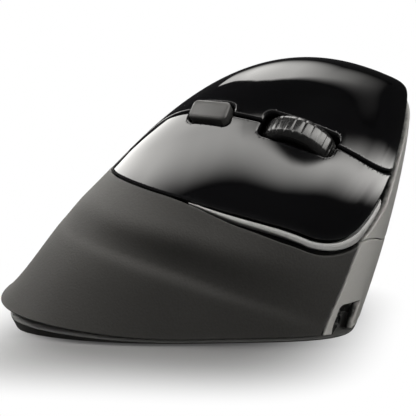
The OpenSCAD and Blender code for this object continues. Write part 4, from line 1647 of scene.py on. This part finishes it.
@dataclass
class CarriedSolids:
    """Solids that stay as they are, with a finish each."""

    rows: Dict[Slot, Tuple[str, ...]] = field(default_factory=lambda: {
        # The frames show through the gaps, and their near-black finish is partly painted shade.
        Slot.FRAME: ("button_frame", "wheel_housing", "wheel_carrier"),
        Slot.HUB: ("wheel_hub",),
        Slot.SWITCH: ("left_switch", "right_switch", "middle_switch", "dpi_switch", "thumb_switch_forward",
                      "thumb_switch_back", "power_switch", "sensor", "wheel_encoder"),
        Slot.PLUNGER: ("left_plunger", "right_plunger", "middle_plunger"),
        Slot.BOARD: ("main_board",),
        Slot.LENS: ("sensor_lens",),
        Slot.BATTERY: ("battery",),
        Slot.SCREW: ("screw_front", "screw_rear"),
    })

    def build(self) -> None:
        """Gives each solid its material."""
        for slot, nodes in self.rows.items():
            for node in nodes:
                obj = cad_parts[node]
                obj.data.materials.clear()
                obj.data.materials.append(FINISHES[slot].material())
                LOG.info("%s: solid kept, %s", node, slot.value)


# Studio


class Facing(Enum):
    """Which way a softbox looks: down, along Y or along X."""

    DOWN = "down"
    ALONG_Y = "along_y"
    ALONG_X = "along_x"


class Rays(Enum):
    """Which rays see a softbox: mirror-like ones or soft light."""

    MIRROR = "mirror"
    SOFT = "soft"


@dataclass(frozen=True)
class Station:
    """Cross-section of a softbox: a crisp and a faded edge, how soft each is, and the radiance."""

    at: float
    crisp: float
    faded: float
    soft: float
    radiance: float
    edge: float = 8.0


@dataclass(frozen=True)
class Softbox:
    """A flat glowing sheet between two edges that are given at stations along it, in millimetres."""

    name: str
    facing: Facing
    level: float
    stations: Tuple[Station, ...]
    rays: Rays
    rows: int = 120
    columns: int = 40
    tint: Colour = (1.0, 0.985, 0.955)

    def grid(self) -> Tuple[Array, Array]:
        """Points of the sheet and the radiance at each.

        Returns:
            Points in millimetres and one radiance for each.
        """
        at = [s.at for s in self.stations]
        t = np.linspace(at[0], at[-1], self.rows)
        read = lambda label: np.interp(t, at, [getattr(s, label) for s in self.stations])[:, None]
        crisp, faded = read("crisp"), read("faded")
        x = mix(crisp, faded, np.linspace(0, 1, self.columns)[None] ** 1.3)
        rise = ease(np.abs(x - crisp) / read("edge"))
        glow = read("radiance") * rise * ease(np.abs(faded - x) / read("soft"))
        along = np.broadcast_to(t[:, None], x.shape)
        level = np.full_like(x, self.level)
        order = {
            Facing.DOWN: (x, along, level),
            Facing.ALONG_Y: (x, level, along),
            Facing.ALONG_X: (level, x, along),
        }
        return np.stack(order[self.facing], -1).reshape(-1, 3), glow.reshape(-1)

    def material(self) -> bpy.types.Material:
        """Emission by the sheet's own "glow" attribute.

        Returns:
            The material.
        """
        mat = bpy.data.materials.new(self.name + "_glow")
        mat.use_nodes = True
        nodes, links = mat.node_tree.nodes, mat.node_tree.links
        nodes.clear()
        glow = nodes.new("ShaderNodeAttribute")
        glow.attribute_name = "glow"
        light = nodes.new("ShaderNodeEmission")
        light.inputs["Color"].default_value = self.tint + (1,)
        links.new(glow.outputs["Fac"], light.inputs["Strength"])
        end = nodes.new("ShaderNodeOutputMaterial")
        links.new(light.outputs[0], end.inputs["Surface"])
        return mat

    def build(self) -> None:
        """Hangs the sheet."""
        pts, glow = self.grid()
        m = self.columns
        faces = [(i * m + j, i * m + j + 1, (i + 1) * m + j + 1, (i + 1) * m + j)
                 for i in range(self.rows - 1) for j in range(m - 1)]
        mesh = bpy.data.meshes.new(self.name)
        mesh.from_pydata((pts * MM).tolist(), [], faces)
        mesh.attributes.new("glow", "FLOAT", "POINT").data.foreach_set("value", glow.astype(np.float32))
        mesh.materials.append(self.material())
        obj = bpy.data.objects.new(self.name, mesh)
        bpy.context.scene.collection.objects.link(obj)
        obj.visible_camera = False
        obj.visible_glossy = self.rays is Rays.MIRROR
        obj.visible_diffuse = self.rays is Rays.SOFT


SOFTBOXES: Tuple[Softbox, ...] = (
    Softbox("strip_softbox", Facing.DOWN, 200.0, (
        Station(-300, -420, -150, 60, 5.5), Station(-220, -270, -70, 60, 6.0),
        Station(-182, -215, -30, 60, 6.4), Station(-135, -95, 48, 60, 6.8),
        Station(-99, -20, 72, 60, 7.4), Station(-66, 27, 90, 55, 7.8),
        Station(-36, 54, 98, 44, 7.6), Station(-14, 63, 100, 38, 7.4), Station(6, 64, 108, 46, 6.6),
        Station(18, 65, 110, 50, 6.4), Station(30, 63, 113, 56, 7.0), Station(42, 58, 115, 60, 7.6),
        Station(52, 53, 117, 64, 8.0), Station(61, 46, 120, 70, 8.1, 14), Station(76, 26, 124, 76, 8.3, 36),
        Station(106, 15, 134, 84, 8.6, 50), Station(150, 4, 147, 93, 9.0, 70),
        Station(220, -26, 158, 108, 9.0, 76), Station(341, -90, 160, 150, 9.0, 86)), Rays.MIRROR),
    Softbox("drop_softbox", Facing.ALONG_Y, 340.0, (
        Station(30, -300, -60, 150, 5.0, 60), Station(62, -275, -10, 120, 7.0, 110),
        Station(77, -250, 15, 120, 7.2, 120), Station(97, -206, 45, 120, 7.6, 110),
        Station(120, -170, 68, 125, 8.0, 95), Station(145, -140, 93, 130, 8.3, 90),
        Station(174, -115, 125, 145, 9.0, 88), Station(201, -90, 160, 150, 9.0, 86)), Rays.MIRROR),
    Softbox("ridge_softbox", Facing.DOWN, 200.0, (
        Station(-90, -140, -320, 180, 3.0), Station(-60, -92, -300, 208, 4.2),
        Station(-40, -52, -280, 228, 6.4), Station(-20, -20, -260, 240, 7.0),
        Station(0, -4, -225, 221, 7.0, 10), Station(20, 2, -195, 195, 7.0, 14),
        Station(60, 10, -125, 125, 3.8, 30), Station(100, 10, -125, 100, 1.1, 45),
        Station(135, 0, -120, 80, 0.0, 60)), Rays.MIRROR),
    Softbox("back_softbox", Facing.ALONG_X, -450.0, (
        Station(150, 40, -520, 150, 30.0, 80), Station(480, 40, -520, 150, 30.0, 80)), Rays.SOFT),
    Softbox("top_softbox", Facing.DOWN, 420.0, (
        Station(-230, -160, 110, 80, 4.0, 80), Station(90, -160, 110, 80, 4.0, 80)), Rays.SOFT),
    Softbox("side_softbox", Facing.ALONG_X, 430.0, (
        Station(40, 260, 560, 80, 13.0, 60), Station(300, 260, 560, 80, 13.0, 60)), Rays.SOFT),
    Softbox("tail_softbox", Facing.ALONG_Y, -430.0, (
        Station(200, 140, -280, 120, 23.0, 100), Station(540, 140, -280, 120, 23.0, 100)), Rays.SOFT),
)


def level_plane(name: str, x: Tuple[float, float], y: Tuple[float, float], z: float,
                mat: bpy.types.Material) -> bpy.types.Object:
    """A level stage plane.

    Args:
        name: its name.
        x: its ends along X, in millimetres.
        y: its ends along Y, in millimetres.
        z: its height, in millimetres.
        mat: its material.

    Returns:
        The plane, marked as stage.
    """
    deselect()
    bpy.ops.mesh.primitive_plane_add(size=1.0)
    obj = bpy.context.object
    obj.name = obj.data.name = name
    centre = ((x[0] + x[1]) / 2 * MM, (y[0] + y[1]) / 2 * MM, z * MM)
    size = Matrix.Diagonal(((x[1] - x[0]) * MM, (y[1] - y[0]) * MM, 1, 1))
    obj.data.transform(Matrix.Translation(centre) @ size)
    obj.data.materials.append(mat)
    return obj


@dataclass
class Studio:
    """White floor before a white surrounding, the softboxes and the camera."""

    yaw: float = 10.0
    lift: float = 5.0
    reach: float = 450.0
    target: Tuple[float, float, float] = (-5.0, -0.6, 37.0)
    drop: float = 6.31
    across: float = 0.27
    lens: float = 141.9
    fill: float = 0.03
    # The near floor's low tone and the oval of the shade fields paint a grey shadow round the object.
    floor_tone: float = 0.12
    floor_bounce: float = 0.05
    floor_glow: float = 0.06
    far_glow: float = 0.05
    floor_x: Tuple[float, float] = (-4000.0, 1500.0)
    floor_y: Tuple[float, float] = (-3000.0, 3000.0)
    shade_centre: Tuple[float, float, float] = (8.0, -6.0, 0.0)
    shade_half: Tuple[float, float, float] = (97.0, 60.0, 100.0)
    shade_core: float = 0.07

    def camera(self) -> None:
        """Sets the camera at the photograph's viewing angle."""
        yaw, lift = math.radians(self.yaw), math.radians(self.lift)
        out = Vector((math.cos(lift) * math.cos(yaw), math.cos(lift) * math.sin(yaw), math.sin(lift)))
        target = Vector(self.target)
        eye = target + out * self.reach
        ahead = -out
        right = ahead.cross(Vector((0, 0, 1))).normalized()
        up = right.cross(ahead)
        aim = target - up * self.drop + right * self.across
        data = bpy.data.cameras.new("photo_camera")
        data.lens = self.lens
        data.sensor_width = 36.0
        data.sensor_fit = "HORIZONTAL"
        data.clip_start = 0.01
        cam = bpy.data.objects.new("photo_camera", data)
        cam.location = eye * MM
        cam.rotation_euler = (aim - eye).to_track_quat("-Z", "Y").to_euler()
        bpy.context.scene.collection.objects.link(cam)
        bpy.context.scene.camera = cam

    def world(self) -> None:
        """White surroundings for the camera, a dim fill for the object."""
        world = bpy.data.worlds.new("studio_world")
        bpy.context.scene.world = world
        world.use_nodes = True
        nodes, links = world.node_tree.nodes, world.node_tree.links
        back = nodes["Background"]
        back.inputs["Color"].default_value = (1, 1, 1, 1)
        links.new(self.seen(nodes, links, self.fill, 1.0), back.inputs["Strength"])

    @staticmethod
    def seen(nodes: bpy.types.Nodes, links: bpy.types.NodeLinks, other: float,
             value: float) -> bpy.types.NodeSocket:
        """Value for camera and transmission rays, another for the rest.

        Args:
            nodes: the tree's nodes.
            links: the tree's links.
            other: value for the other rays.
            value: value for the seen rays.

        Returns:
            The socket with the value.
        """
        path = nodes.new("ShaderNodeLightPath")
        both = nodes.new("ShaderNodeMath")
        both.operation = "MAXIMUM"
        links.new(path.outputs["Is Camera Ray"], both.inputs[0])
        links.new(path.outputs["Is Transmission Ray"], both.inputs[1])
        span = nodes.new("ShaderNodeMapRange")
        span.inputs["To Min"].default_value = other
        span.inputs["To Max"].default_value = value
        links.new(both.outputs[0], span.inputs["Value"])
        return span.outputs["Result"]

    def floor(self) -> None:
        """White floor that keeps the object's shadow, with a painted shadow round the object that fades out
        to the white surroundings.
        """
        mat = bpy.data.materials.new("studio_floor")
        mat.use_nodes = True
        nodes, links = mat.node_tree.nodes, mat.node_tree.links
        nodes.clear()
        where = nodes.new("ShaderNodeTexCoord")
        centred = nodes.new("ShaderNodeVectorMath")
        centred.operation = "SUBTRACT"
        centred.inputs[1].default_value = [c * MM for c in self.shade_centre]
        links.new(where.outputs["Object"], centred.inputs[0])
        oval = nodes.new("ShaderNodeVectorMath")
        oval.operation = "DIVIDE"
        oval.inputs[1].default_value = [c * MM for c in self.shade_half]
        links.new(centred.outputs[0], oval.inputs[0])
        boxy = nodes.new("ShaderNodeVectorMath")
        boxy.operation = "MULTIPLY"
        links.new(oval.outputs[0], boxy.inputs[0])
        links.new(oval.outputs[0], boxy.inputs[1])
        length = nodes.new("ShaderNodeVectorMath")
        length.operation = "LENGTH"
        links.new(boxy.outputs[0], length.inputs[0])
        # Painted shadow: the oval rises from 0 near the object to 1 further off, and fades the grey near
        # floor to white.
        shadow_oval = nodes.new("ShaderNodeMapRange")
        shadow_oval.interpolation_type = "SMOOTHSTEP"
        shadow_oval.inputs["From Min"].default_value = self.shade_core
        shadow_oval.inputs["From Max"].default_value = 1.0
        links.new(length.outputs["Value"], shadow_oval.inputs["Value"])
        matt = nodes.new("ShaderNodeBsdfDiffuse")
        links.new(self.seen(nodes, links, self.floor_bounce, self.floor_tone), matt.inputs["Color"])
        glow = nodes.new("ShaderNodeEmission")
        links.new(self.seen(nodes, links, 0.0, self.floor_glow), glow.inputs["Strength"])
        near = nodes.new("ShaderNodeAddShader")
        links.new(matt.outputs[0], near.inputs[0])
        links.new(glow.outputs[0], near.inputs[1])
        white = nodes.new("ShaderNodeEmission")
        links.new(self.seen(nodes, links, self.far_glow, 1.0), white.inputs["Strength"])
        blend = nodes.new("ShaderNodeMixShader")
        links.new(shadow_oval.outputs["Result"], blend.inputs["Fac"])
        links.new(near.outputs[0], blend.inputs[1])
        links.new(white.outputs[0], blend.inputs[2])
        end = nodes.new("ShaderNodeOutputMaterial")
        links.new(blend.outputs[0], end.inputs["Surface"])
        level_plane("studio_floor", self.floor_x, self.floor_y, 0.0, mat)

    def build(self) -> None:
        """Sets up the whole studio."""
        bpy.context.scene.view_settings.view_transform = "Standard"
        self.camera()
        self.world()
        self.floor()
        for light in SOFTBOXES:
            light.build()


def main() -> None:
    """Builds every sub-assembly in order."""
    logging.basicConfig(level=logging.INFO, format="%(name)s %(message)s")
    skin = Skin()
    Studio().build()
    BodyShells(skin).build()
    FrontPieces(skin).build()
    KeyPair(skin).build()
    EdgeStrip(skin).build()
    ScrollWheel(skin).build()
    PressCap("speed_cap", "dpi_button", "speed_key", Slot.SPEED,
             length=11.0, width=6.0, out=1.5, deep=3.6, round=0.6).build(skin.speed_seat())
    for name, node, body, along in (("thumb_cap_forward", "thumb_forward", "forward_key", 18.0),
                                    ("thumb_cap_back", "thumb_back", "back_key", 0.0)):
        PressCap(name, node, body, Slot.THUMB,
                 length=15.0, width=6.0, out=1.2, deep=3.4, round=0.8).build(skin.thumb_seat(along))
    BaseTray(skin).build()
    RoundedSolids().build()
    CarriedSolids().build()
    bpy.context.view_layer.update()


if __name__ == "__main__":
    main()
